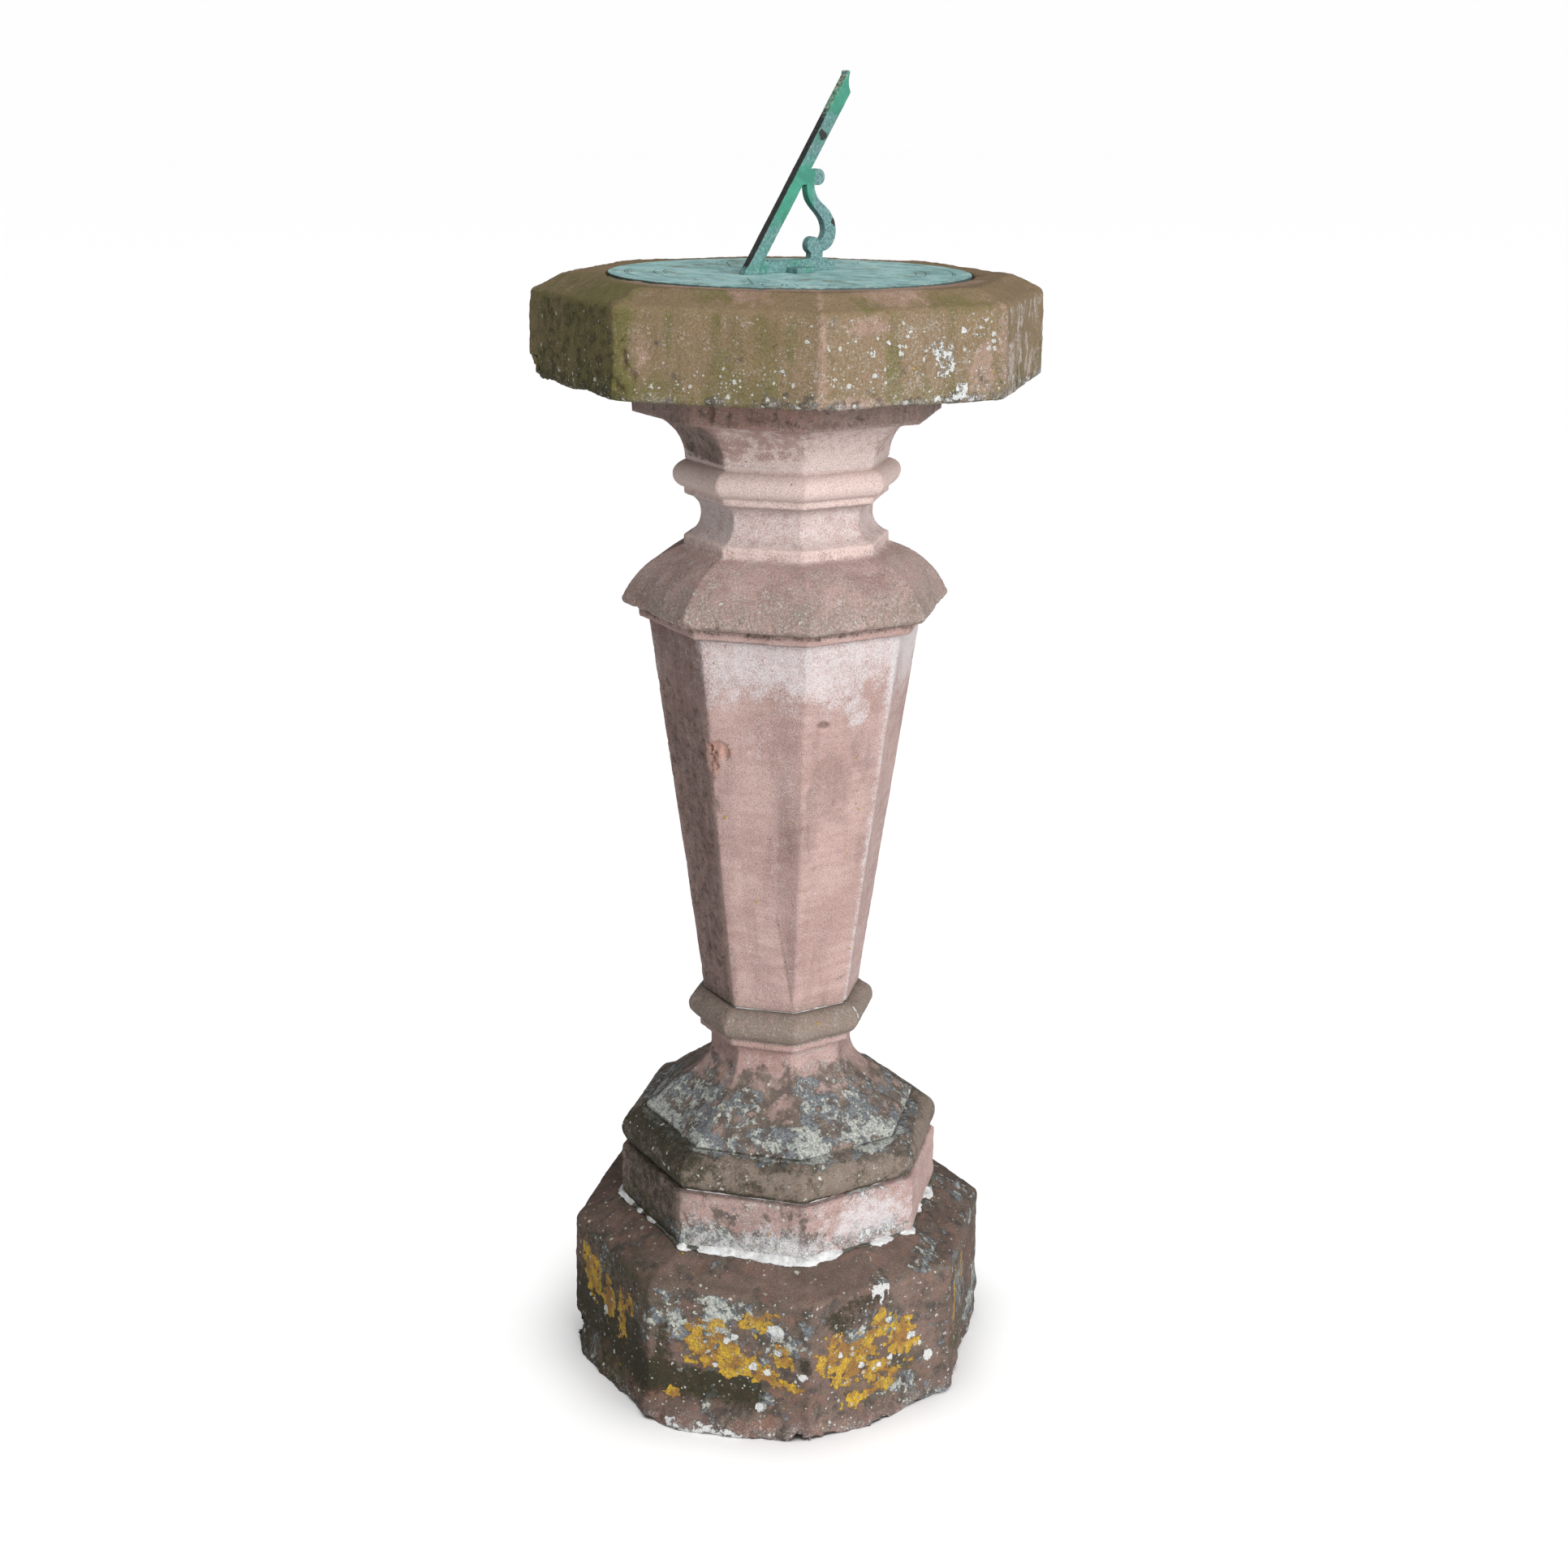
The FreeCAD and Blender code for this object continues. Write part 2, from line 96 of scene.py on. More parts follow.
def smoothstep(value, low, high):
    t = np.clip((value - low) / (high - low), 0, 1)
    return t * t * (3 - 2 * t)


# ---- stone surfaces -----------------------------------------------------------------------
class Stone:
    """A CAD stone's surface as a fine, even mesh whose points can be worn and pushed about.
    Its methods take lengths and heights in millimetres."""

    def __init__(self, node, name, cell, seed):
        self.node, self.seed = node, seed
        copy = bpy.data.objects.new(name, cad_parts[node].data.copy())
        bpy.context.scene.collection.objects.link(copy)
        remesh = copy.modifiers.new("even_mesh", "REMESH")
        remesh.mode = "SHARP"
        remesh.octree_depth = REMESH_DEPTH
        share = max(copy.dimensions) / (cell * MM * 2 ** REMESH_DEPTH)
        remesh.scale = min(share, LARGEST_REMESH)
        remesh.sharpness = 1.0
        depsgraph = bpy.context.evaluated_depsgraph_get()
        self.mesh = bpy.data.meshes.new_from_object(copy.evaluated_get(depsgraph))
        copy.modifiers.clear()
        copy.data = self.mesh
        self.mesh.name = name
        self.mesh.materials.clear()
        self.object = copy
        self.start = np.zeros(len(self.mesh.vertices) * 3)
        self.mesh.vertices.foreach_get("co", self.start)
        self.start = self.start.reshape(-1, 3)
        self.points = self.start.copy()
        ends = np.zeros(len(self.mesh.edges) * 2, np.int64)
        self.mesh.edges.foreach_get("vertices", ends)
        self.edges = ends.reshape(-1, 2)
        self.degree = np.bincount(ends, minlength=len(self.points))[:, None]

    def smoothed(self, values, times):
        a, b = self.edges[:, 0], self.edges[:, 1]
        for _ in range(times):
            total = np.stack([np.bincount(a, values[b, k], len(values))
                              + np.bincount(b, values[a, k], len(values))
                              for k in range(values.shape[1])], axis=1)
            values = 0.5 * values + 0.5 * total / self.degree
        return values

    def normals(self):
        self.mesh.vertices.foreach_set("co", self.points.ravel())
        self.mesh.update()
        found = np.zeros(len(self.points) * 3)
        self.mesh.vertex_normals.foreach_get("vector", found)
        return found.reshape(-1, 3)

    @property
    def angle(self):
        return np.degrees(np.arctan2(self.start[:, 0], -self.start[:, 1]))

    @property
    def height(self):
        return self.start[:, 2]

    @property
    def radius(self):
        return np.hypot(self.start[:, 0], self.start[:, 1])

    @property
    def outward(self):
        """Level directions away from the axis."""
        return self.start * np.array([1, 1, 0]) / np.maximum(self.radius, NEAR_AXIS)[:, None]

    def wear(self, rounding, steps, chipping, chip_size):
        """Rounds the arrises, breaks small chips off them, and notes where the stone's
        arrises and its inner corners are."""
        broad = self.smoothed(self.points, 14)
        normal = self.normals()
        bulge = ((self.points - broad) * normal).sum(1)
        self.edge = smoothstep(bulge, 0.3 * MM, 1.6 * MM)
        self.crease = smoothstep(-bulge, 0.3 * MM, 1.6 * MM)
        near = self.smoothed(self.points, steps)
        share = rounding * (0.75 + 0.25 * fractal(self.points, 40 * MM, self.seed + 5))
        self.points += (near - self.points) * share[:, None]
        chips = fractal(self.points, chip_size * MM, self.seed + 9, 4, 0.6)
        deep = chipping * MM * smoothstep(chips, 0.3, 0.75) * self.edge
        self.points -= normal * deep[:, None]

    def roughen(self, layers):
        """Pushes the surface in and out by layers of (size, depth)."""
        normal = self.normals()
        for index, (size, depth) in enumerate(layers):
            bumps = fractal(self.start, size * MM, self.seed + 20 + index, 3, 0.55)
            self.points += normal * (depth * MM * bumps)[:, None]

    def spread(self, angle, height, half_width, half_height, ragged=0.35):
        """From 1 at the middle of a patch to 0 outside it, with a broken outline."""
        half_width, half_height = half_width * MM, half_height * MM
        turn = (self.angle - angle + 180) % 360 - 180
        across = np.radians(turn) * self.radius / half_width
        along = (self.height - height * MM) / half_height
        far = np.hypot(across, along)
        if ragged:
            far = far + ragged * fractal(self.start, 0.6 * min(half_width, half_height),
                                         self.seed + 40, 3, 0.6)
        return 1 - smoothstep(far, 0.55, 1.1)

    def bite(self, angle, height, half_width, half_height, depth):
        """Breaks a piece out of the surface."""
        normal = self.normals()
        push = depth * MM * self.spread(angle, height, half_width, half_height, 0.45)
        push *= 0.8 + 0.35 * fractal(self.start, 5 * MM, self.seed + 60)
        self.points -= normal * push[:, None]

    def band(self, low, high, fade):
        """1 between two heights, fading out over a distance."""
        low, high, fade = low * MM, high * MM, fade * MM
        above = smoothstep(self.height, low - fade, low + fade)
        return above * (1 - smoothstep(self.height, high - fade, high + fade))

    def facing(self, angle, half_width, fade=8.0):
        """1 where the stone faces within half_width degrees of an angle."""
        turn = np.abs((self.angle - angle + 180) % 360 - 180)
        return 1 - smoothstep(turn, half_width - fade, half_width + fade)

    def clouds(self, size, seed_shift=0, octaves=3):
        """Noise from 0 to 1."""
        return np.clip(0.5 + 0.5 * fractal(self.start, size * MM, self.seed + 80 + seed_shift,
                                           octaves), 0, 1)

    def streaks(self, width, length, seed_shift=0):
        """Noise from 0 to 1 drawn out downwards, as rain leaves it."""
        width, length = width * MM, length * MM
        stretched = self.start * np.array([1, 1, width / length])
        return np.clip(0.5 + 0.5 * fractal(stretched, width, self.seed + 90 + seed_shift, 3),
                       0, 1)

    def paint(self, **masks):
        """Stores masks from 0 to 1, which the materials read."""
        for name, values in masks.items():
            layer = self.mesh.attributes.new(name=name, type="FLOAT", domain="POINT")
            layer.data.foreach_set("value", np.clip(values, 0, 1).astype(np.float32))

    def stand_on(self, height):
        """Keeps the stone from reaching below a height."""
        self.points[:, 2] = np.maximum(self.points[:, 2], height * MM)

    def finish(self, material):
        self.mesh.vertices.foreach_set("co", self.points.ravel())
        self.mesh.shade_smooth()
        self.mesh.update()
        self.mesh.materials.append(material)
        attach(self.object, "root")
        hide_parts(self.node)
        return self.object


# ---- materials ----------------------------------------------------------------------------
class Tree:
    """A short way to write a material's nodes. Its methods take sizes in millimetres."""

    def __init__(self, name):
        self.material = bpy.data.materials.new(name)
        self.material.use_nodes = True
        self.nodes = self.material.node_tree.nodes
        self.links = self.material.node_tree.links
        self.shader = self.nodes["Principled BSDF"]
        self.place = self.nodes.new("ShaderNodeTexCoord").outputs["Object"]

    def put(self, socket, value):
        if isinstance(value, bpy.types.NodeSocket):
            self.links.new(value, socket)
        elif isinstance(value, tuple) and len(value) == 3 and socket.type == "RGBA":
            socket.default_value = (*value, 1)
        else:
            socket.default_value = value

    def stretched(self, x, y, z):
        node = self.nodes.new("ShaderNodeMapping")
        node.inputs["Scale"].default_value = (x, y, z)
        self.links.new(self.place, node.inputs["Vector"])
        return node.outputs["Vector"]

    def noise(self, size, detail=2.0, rough=0.5, place=None, distortion=0.0):
        node = self.nodes.new("ShaderNodeTexNoise")
        self.links.new(place or self.place, node.inputs["Vector"])
        node.inputs["Scale"].default_value = 1 / (size * MM)
        node.inputs["Detail"].default_value = detail
        node.inputs["Roughness"].default_value = rough
        node.inputs["Distortion"].default_value = distortion
        return node.outputs["Fac"]

    def cells(self, size, random=1.0):
        """The distance to the middle of the nearest cell, and that cell's own colour."""
        node = self.nodes.new("ShaderNodeTexVoronoi")
        self.links.new(self.place, node.inputs["Vector"])
        node.inputs["Scale"].default_value = 1 / (size * MM)
        node.inputs["Randomness"].default_value = random
        return node.outputs["Distance"], node.outputs["Color"]

    def radius(self):
        """The distance from the sundial's axis."""
        node = self.nodes.new("ShaderNodeVectorMath")
        node.operation = "LENGTH"
        self.links.new(self.stretched(1, 1, 0), node.inputs[0])
        return node.outputs["Value"]

    def upwards(self):
        """The height above the ground."""
        node = self.nodes.new("ShaderNodeSeparateXYZ")
        self.links.new(self.place, node.inputs[0])
        return node.outputs["Z"]

    def mask(self, name):
        node = self.nodes.new("ShaderNodeAttribute")
        node.attribute_name = name
        return node.outputs["Fac"]

    def sum(self, a, b, operation="ADD"):
        node = self.nodes.new("ShaderNodeMath")
        node.operation = operation
        self.put(node.inputs[0], a)
        self.put(node.inputs[1], b)
        return node.outputs[0]

    def times(self, a, b):
        return self.sum(a, b, "MULTIPLY")

    def step(self, value, low, high, out_low=0.0, out_high=1.0, smooth=True):
        node = self.nodes.new("ShaderNodeMapRange")
        node.interpolation_type = "SMOOTHSTEP" if smooth else "LINEAR"
        node.clamp = smooth
        self.put(node.inputs["Value"], value)
        node.inputs["From Min"].default_value = low
        node.inputs["From Max"].default_value = high
        node.inputs["To Min"].default_value = out_low
        node.inputs["To Max"].default_value = out_high
        return node.outputs["Result"]

    def mix(self, share, a, b, blend="MIX"):
        node = self.nodes.new("ShaderNodeMix")
        node.data_type = "RGBA"
        node.blend_type = blend
        self.put(node.inputs["Factor"], share)
        self.put(node.inputs["A"], a)
        self.put(node.inputs["B"], b)
        return node.outputs["Result"]

    def broken(self, coverage, noise, softness=0.15):
        """A patchy layer: about as much of the surface shows it as coverage says, and the
        noise decides where."""
        even = self.step(noise, 0.28, 0.72, smooth=False)
        return self.step(self.sum(coverage, even), 1.0 - softness, 1.0 + softness)

    def dots(self, density, size, wobble):
        """Round specks in cells of a size: more of them, and larger ones, where it is dense."""
        distance, own = self.cells(size)
        reach = self.step(own, 0.0, 1.0, 0.12, 0.42)
        ragged = self.sum(distance, self.times(self.sum(wobble, 0.5, "SUBTRACT"), 0.9))
        inside = self.step(self.sum(reach, ragged, "SUBTRACT"), -0.03, 0.05)
        place = self.nodes.new("ShaderNodeSeparateColor")
        self.links.new(own, place.inputs[0])
        chosen = self.step(self.sum(density, place.outputs["Blue"], "SUBTRACT"), 0.0, 0.05)
        return self.times(inside, chosen)

    def surface(self, colour, roughness, height, depth, metal=0.0):
        self.put(self.shader.inputs["Base Color"], colour)
        self.put(self.shader.inputs["Roughness"], roughness)
        self.put(self.shader.inputs["Metallic"], metal)
        bump = self.nodes.new("ShaderNodeBump")
        bump.inputs["Strength"].default_value = 1.0
        bump.inputs["Distance"].default_value = depth * MM
        self.links.new(height, bump.inputs["Height"])
        self.links.new(bump.outputs["Normal"], self.shader.inputs["Normal"])
        return self.material


def tinted(colour, *factors):
    """A colour times one number, or times one number for each channel."""
    factors = factors * 3 if len(factors) == 1 else factors
    return tuple(c * k for c, k in zip(colour, factors))


def sandstone(name, light, deep, film):
    """Pink sandstone and what has settled on it. The masks are layers: a soft stain, which is
    also painted shade on the left faces, in inner corners and under overhangs; algae, which
    on the left faces is partly painted shade, and green turns it greener; nearly black
    grime, also painted shade on the left faces, in inner corners and under overhangs; salt,
    left off the left faces as painted shade and put on one as painted light, and warm makes
    that pinker; crust is grey lichen, ochre is orange lichen, dots and white are white
    lichen, and fresh is new stone where a piece has broken off."""
    t = Tree(name)
    grain = t.noise(0.85, 2, 0.6)
    sand = t.noise(2.4, 3, 0.6)
    blotch = t.noise(10, 5, 0.62)
    cloud = t.noise(48, 4, 0.55)
    drips = t.noise(9, 4, 0.6, t.stretched(1, 1, 0.16))
    beds = t.noise(30, 3, 0.5, t.stretched(1, 1, 5))

    tone = t.sum(t.times(cloud, 0.6), t.times(beds, 0.4))
    colour = t.mix(t.step(tone, 0.38, 0.62), deep, light)
    colour = t.mix(t.step(blotch, 0.5, 0.72, 0, 0.3), colour, tinted(light, 1.15))
    colour = t.mix(t.mask("fresh"), colour, tinted(light, 1.1, 0.92, 0.82))

    # A soft stain, also used as painted shade on left faces, in inner corners and under overhangs.
    shade = t.times(t.mask("shade"), t.step(drips, 0.3, 0.7, 0.6, 1.0))
    colour = t.mix(shade, colour, (0.42, 0.385, 0.38), "MULTIPLY")

    # Algae, which on the left faces is partly painted shade.
    film_noise = t.sum(t.times(sand, 0.45), t.times(blotch, 0.55))
    film_mask = t.broken(t.mask("film"), film_noise, 0.45)
    green = t.sum(t.mask("green"), t.step(drips, 0.4, 0.7, 0, 0.25))
    film_tone = t.mix(t.step(green, 0.2, 0.9), film, tinted(film, 0.62, 0.82, 0.42))
    film_tone = t.mix(t.step(cloud, 0.4, 0.65, 0, 0.4), film_tone, tinted(film, 0.72))
    colour = t.mix(t.times(film_mask, 0.86), colour, film_tone)

    crust = t.mask("crust")
    dark_patch = t.broken(crust, t.noise(15, 7, 0.62), 0.12)
    dark_tone = t.mix(t.step(blotch, 0.4, 0.6), (0.040, 0.038, 0.034), (0.105, 0.085, 0.066))
    colour = t.mix(t.times(dark_patch, 0.74), colour, dark_tone)
    slate_patch = t.broken(t.sum(crust, 0.26, "SUBTRACT"), t.noise(13, 7, 0.62), 0.06)
    slate_tone = t.mix(t.step(sand, 0.4, 0.6), (0.085, 0.095, 0.105), (0.165, 0.185, 0.200))
    colour = t.mix(t.times(slate_patch, 0.85), colour, slate_tone)
    cream_patch = t.broken(t.sum(crust, 0.34, "SUBTRACT"), t.noise(7.5, 6, 0.66), 0.05)
    cream_tone = t.mix(t.step(sand, 0.4, 0.6), (0.22, 0.235, 0.22), (0.40, 0.41, 0.37))
    colour = t.mix(t.times(cream_patch, 0.9), colour, cream_tone)

    # Nearly black grime, which is also painted shade on left faces, in inner corners and under
    # overhangs.
    ragged = t.sum(t.times(sand, 0.35), t.times(t.noise(9, 5, 0.65), 0.65))
    grime = t.broken(t.mask("grime"), ragged, 0.3)
    colour = t.mix(t.times(grime, 0.85), colour, (0.022, 0.020, 0.010))

    # Salt, left off the left faces as painted shade and put on the capital neck's left face as
    # painted light.
    bloom_noise = t.sum(t.times(t.noise(1.9, 4, 0.7), 0.62), t.times(blotch, 0.38))
    bloom = t.broken(t.mask("bloom"), bloom_noise, 0.34)
    bloom_tone = t.mix(t.mask("warm"), (0.50, 0.475, 0.485), (0.585, 0.475, 0.440))
    colour = t.mix(t.times(bloom, 0.76), colour, bloom_tone)

    distance, _ = t.cells(6)
    blobs = t.sum(t.noise(8, 6, 0.66), t.times(distance, 0.26), "SUBTRACT")
    ochre = t.broken(t.mask("ochre"), t.sum(blobs, 0.11), 0.07)
    ochre_tone = t.mix(t.step(t.noise(16, 5, 0.6), 0.42, 0.6), (0.25, 0.125, 0.028),
                       (0.47, 0.30, 0.022))
    ochre_tone = t.mix(t.step(sand, 0.42, 0.6, 0.55, 0.0), ochre_tone, (0.16, 0.095, 0.04))
    colour = t.mix(t.times(ochre, 0.9), colour, ochre_tone)

    specks = t.sum(t.dots(t.mask("dots"), 2.7, grain),
                   t.dots(t.mask("dots"), 5.5, sand), "MAXIMUM")
    colour = t.mix(t.times(specks, 0.85), colour, (0.42, 0.43, 0.40))
    white = t.broken(t.mask("white"), t.noise(5.5, 6, 0.7), 0.08)
    colour = t.mix(t.times(white, 0.95), colour, (0.47, 0.48, 0.47))

    colour = t.mix(t.step(grain, 0.32, 0.56, 0.52, 0.0), colour, (0.25, 0.23, 0.21), "MULTIPLY")
    colour = t.mix(t.step(grain, 0.56, 0.70, 0.0, 0.34), colour, (1.6, 1.55, 1.5), "MULTIPLY")

    height = t.sum(t.times(grain, 0.45), t.times(sand, 0.6))
    for layer, thickness in ((slate_patch, 0.35), (cream_patch, 0.45), (ochre, 0.6),
                             (specks, 0.5), (white, 0.8)):
        height = t.sum(height, t.times(layer, thickness))
    roughness = t.step(sand, 0.3, 0.7, 0.82, 0.96)
    t.shader.inputs["Specular IOR Level"].default_value = 0.2
    return t.surface(colour, roughness, height, 0.8)


def lime_mortar(name):
    t = Tree(name)
    sand = t.noise(1.6, 3, 0.65)
    lumps = t.noise(8, 5, 0.62)
    colour = t.mix(t.step(lumps, 0.38, 0.62), (0.40, 0.40, 0.395), (0.52, 0.525, 0.525))
    colour = t.mix(t.step(sand, 0.58, 0.7, 0, 0.35), colour, (0.24, 0.215, 0.19))
    dirt = t.broken(t.mask("grime"), t.noise(6, 6, 0.68), 0.15)
    colour = t.mix(t.times(dirt, 0.9), colour, (0.035, 0.033, 0.016))
    height = t.sum(t.times(sand, 0.5), lumps)
    return t.surface(colour, t.step(sand, 0.3, 0.7, 0.8, 0.95), height, 0.9)


def verdigris(name, green, blue, brown):
    """Old bronze: a smooth green skin, a crystalline blue-grey one that takes over in patches,
    and brown metal where both are worn away."""
    t = Tree(name)
    fine = t.noise(1.1, 4, 0.65)
    speckle = t.noise(2.8, 6, 0.75)
    cloud = t.noise(22, 5, 0.62, distortion=0.5)
    crystal = t.broken(t.mask("crystal"), t.sum(t.times(cloud, 0.6), t.times(speckle, 0.4)),
                       0.25)
    colour = t.mix(t.step(cloud, 0.38, 0.62), tinted(green, 0.75), green)
    blue_tone = t.mix(t.step(speckle, 0.4, 0.58), tinted(blue, 0.5, 0.55, 0.62), blue)
    blue_tone = t.mix(t.step(fine, 0.54, 0.66, 0.0, 0.7), blue_tone, (0.34, 0.46, 0.43))
    colour = t.mix(t.times(crystal, 0.9), colour, blue_tone)
    colour = t.mix(t.step(speckle, 0.56, 0.66, 0.0, 0.35), colour, tinted(green, 1.7))
    bare = t.broken(t.mask("bare"), t.noise(5, 5, 0.7), 0.1)
    bare_tone = t.mix(t.step(speckle, 0.4, 0.6), tinted(brown, 0.5), brown)
    colour = t.mix(t.times(bare, 0.95), colour, bare_tone)
    colour = t.mix(t.mask("dull"), colour, (0.42, 0.48, 0.47), "MULTIPLY")
    pale = t.broken(t.mask("pale"), speckle, 0.15)
    colour = t.mix(t.times(pale, 0.75), colour, (0.30, 0.33, 0.24))
    height = t.sum(t.times(fine, 0.45), t.times(speckle, 0.7))
    height = t.sum(height, t.times(bare, 0.5), "SUBTRACT")
    roughness = t.step(speckle, 0.3, 0.7, 0.55, 0.85)
    t.shader.inputs["Specular IOR Level"].default_value = 0.3
    return t.surface(colour, roughness, height, 0.35)


def dial_bronze(face):
    """The plate's skin: pale blue-green, wiped in one direction, with slate smears, a few
    brown stains and pale spots, dirt in what is cut below its face, and a dark ring at its
    edge that is partly dirt in the gap round it, partly painted shade."""
    t = Tree("dial_bronze")
    wiping = t.stretched(0.62, 1.0, 1.0)
    fine = t.noise(1.1, 4, 0.65)
    speckle = t.noise(3.6, 6, 0.72)
    wiped = t.noise(15, 7, 0.76, wiping, 0.2)
    cloud = t.noise(45, 5, 0.6)
    colour = t.mix(t.step(cloud, 0.38, 0.6), (0.185, 0.345, 0.335), (0.275, 0.455, 0.445))
    colour = t.mix(t.step(wiped, 0.51, 0.58, 0.0, 0.8), colour, (0.37, 0.53, 0.525))
    colour = t.mix(t.step(wiped, 0.37, 0.45, 0.85, 0.0), colour, (0.13, 0.20, 0.225))
    stain = t.noise(24, 8, 0.8, wiping, 0.3)
    colour = t.mix(t.step(stain, 0.555, 0.60, 0.0, 0.85), colour, (0.19, 0.18, 0.115))
    colour = t.mix(t.step(fine, 0.5, 0.68, 0.0, 0.45), colour, (0.13, 0.235, 0.23))
    pits = t.noise(6, 6, 0.75)
    colour = t.mix(t.step(pits, 0.60, 0.66, 0.0, 0.7), colour, (0.085, 0.12, 0.125))
    colour = t.mix(t.step(speckle, 0.6, 0.68, 0.0, 0.6), colour, (0.48, 0.58, 0.56))
    # A dark ring at the plate's edge, in the gap round it: partly dirt, partly painted shade.
    rim = t.step(t.sum(t.radius(), t.times(t.sum(pits, 0.5, "SUBTRACT"), 4 * MM)),
                 149.2 * MM, 149.9 * MM)
    colour = t.mix(t.times(rim, 0.85), colour, (0.045, 0.040, 0.030))
    engraved = t.step(t.upwards(), face - 0.35 * MM, face - 0.1 * MM, 0.75, 0.0)
    colour = t.mix(engraved, colour, (0.05, 0.085, 0.08))
    height = t.sum(t.times(fine, 0.5), t.times(speckle, 0.6))
    roughness = t.step(speckle, 0.3, 0.7, 0.5, 0.8)
    t.shader.inputs["Specular IOR Level"].default_value = 0.3
    return t.surface(colour, roughness, height, 0.25)


def plain_metal(name, light, dark, rough):
    t = Tree(name)
    fine = t.noise(1.0, 4, 0.65)
    cloud = t.noise(9, 4, 0.6)
    colour = t.mix(t.step(cloud, 0.35, 0.65), dark, light)
    colour = t.mix(t.step(fine, 0.5, 0.7, 0.0, 0.4), colour, tinted(dark, 0.6))
    return t.surface(colour, t.step(fine, 0.3, 0.7, rough - 0.1, rough + 0.1), fine,
                     0.15, 0.6)


# ---- the stones ---------------------------------------------------------------------------
def highest(stone, patches, strength, ragged):
    """One mask from many patches of (angle, height, half width, half height) in degrees
    and millimetres."""
    mask = np.zeros(len(stone.points))
    for angle, height, wide, tall in patches:
        spot = stone.spread(angle, height, wide, tall, ragged)
        mask = np.maximum(mask, strength * spot)
    return mask


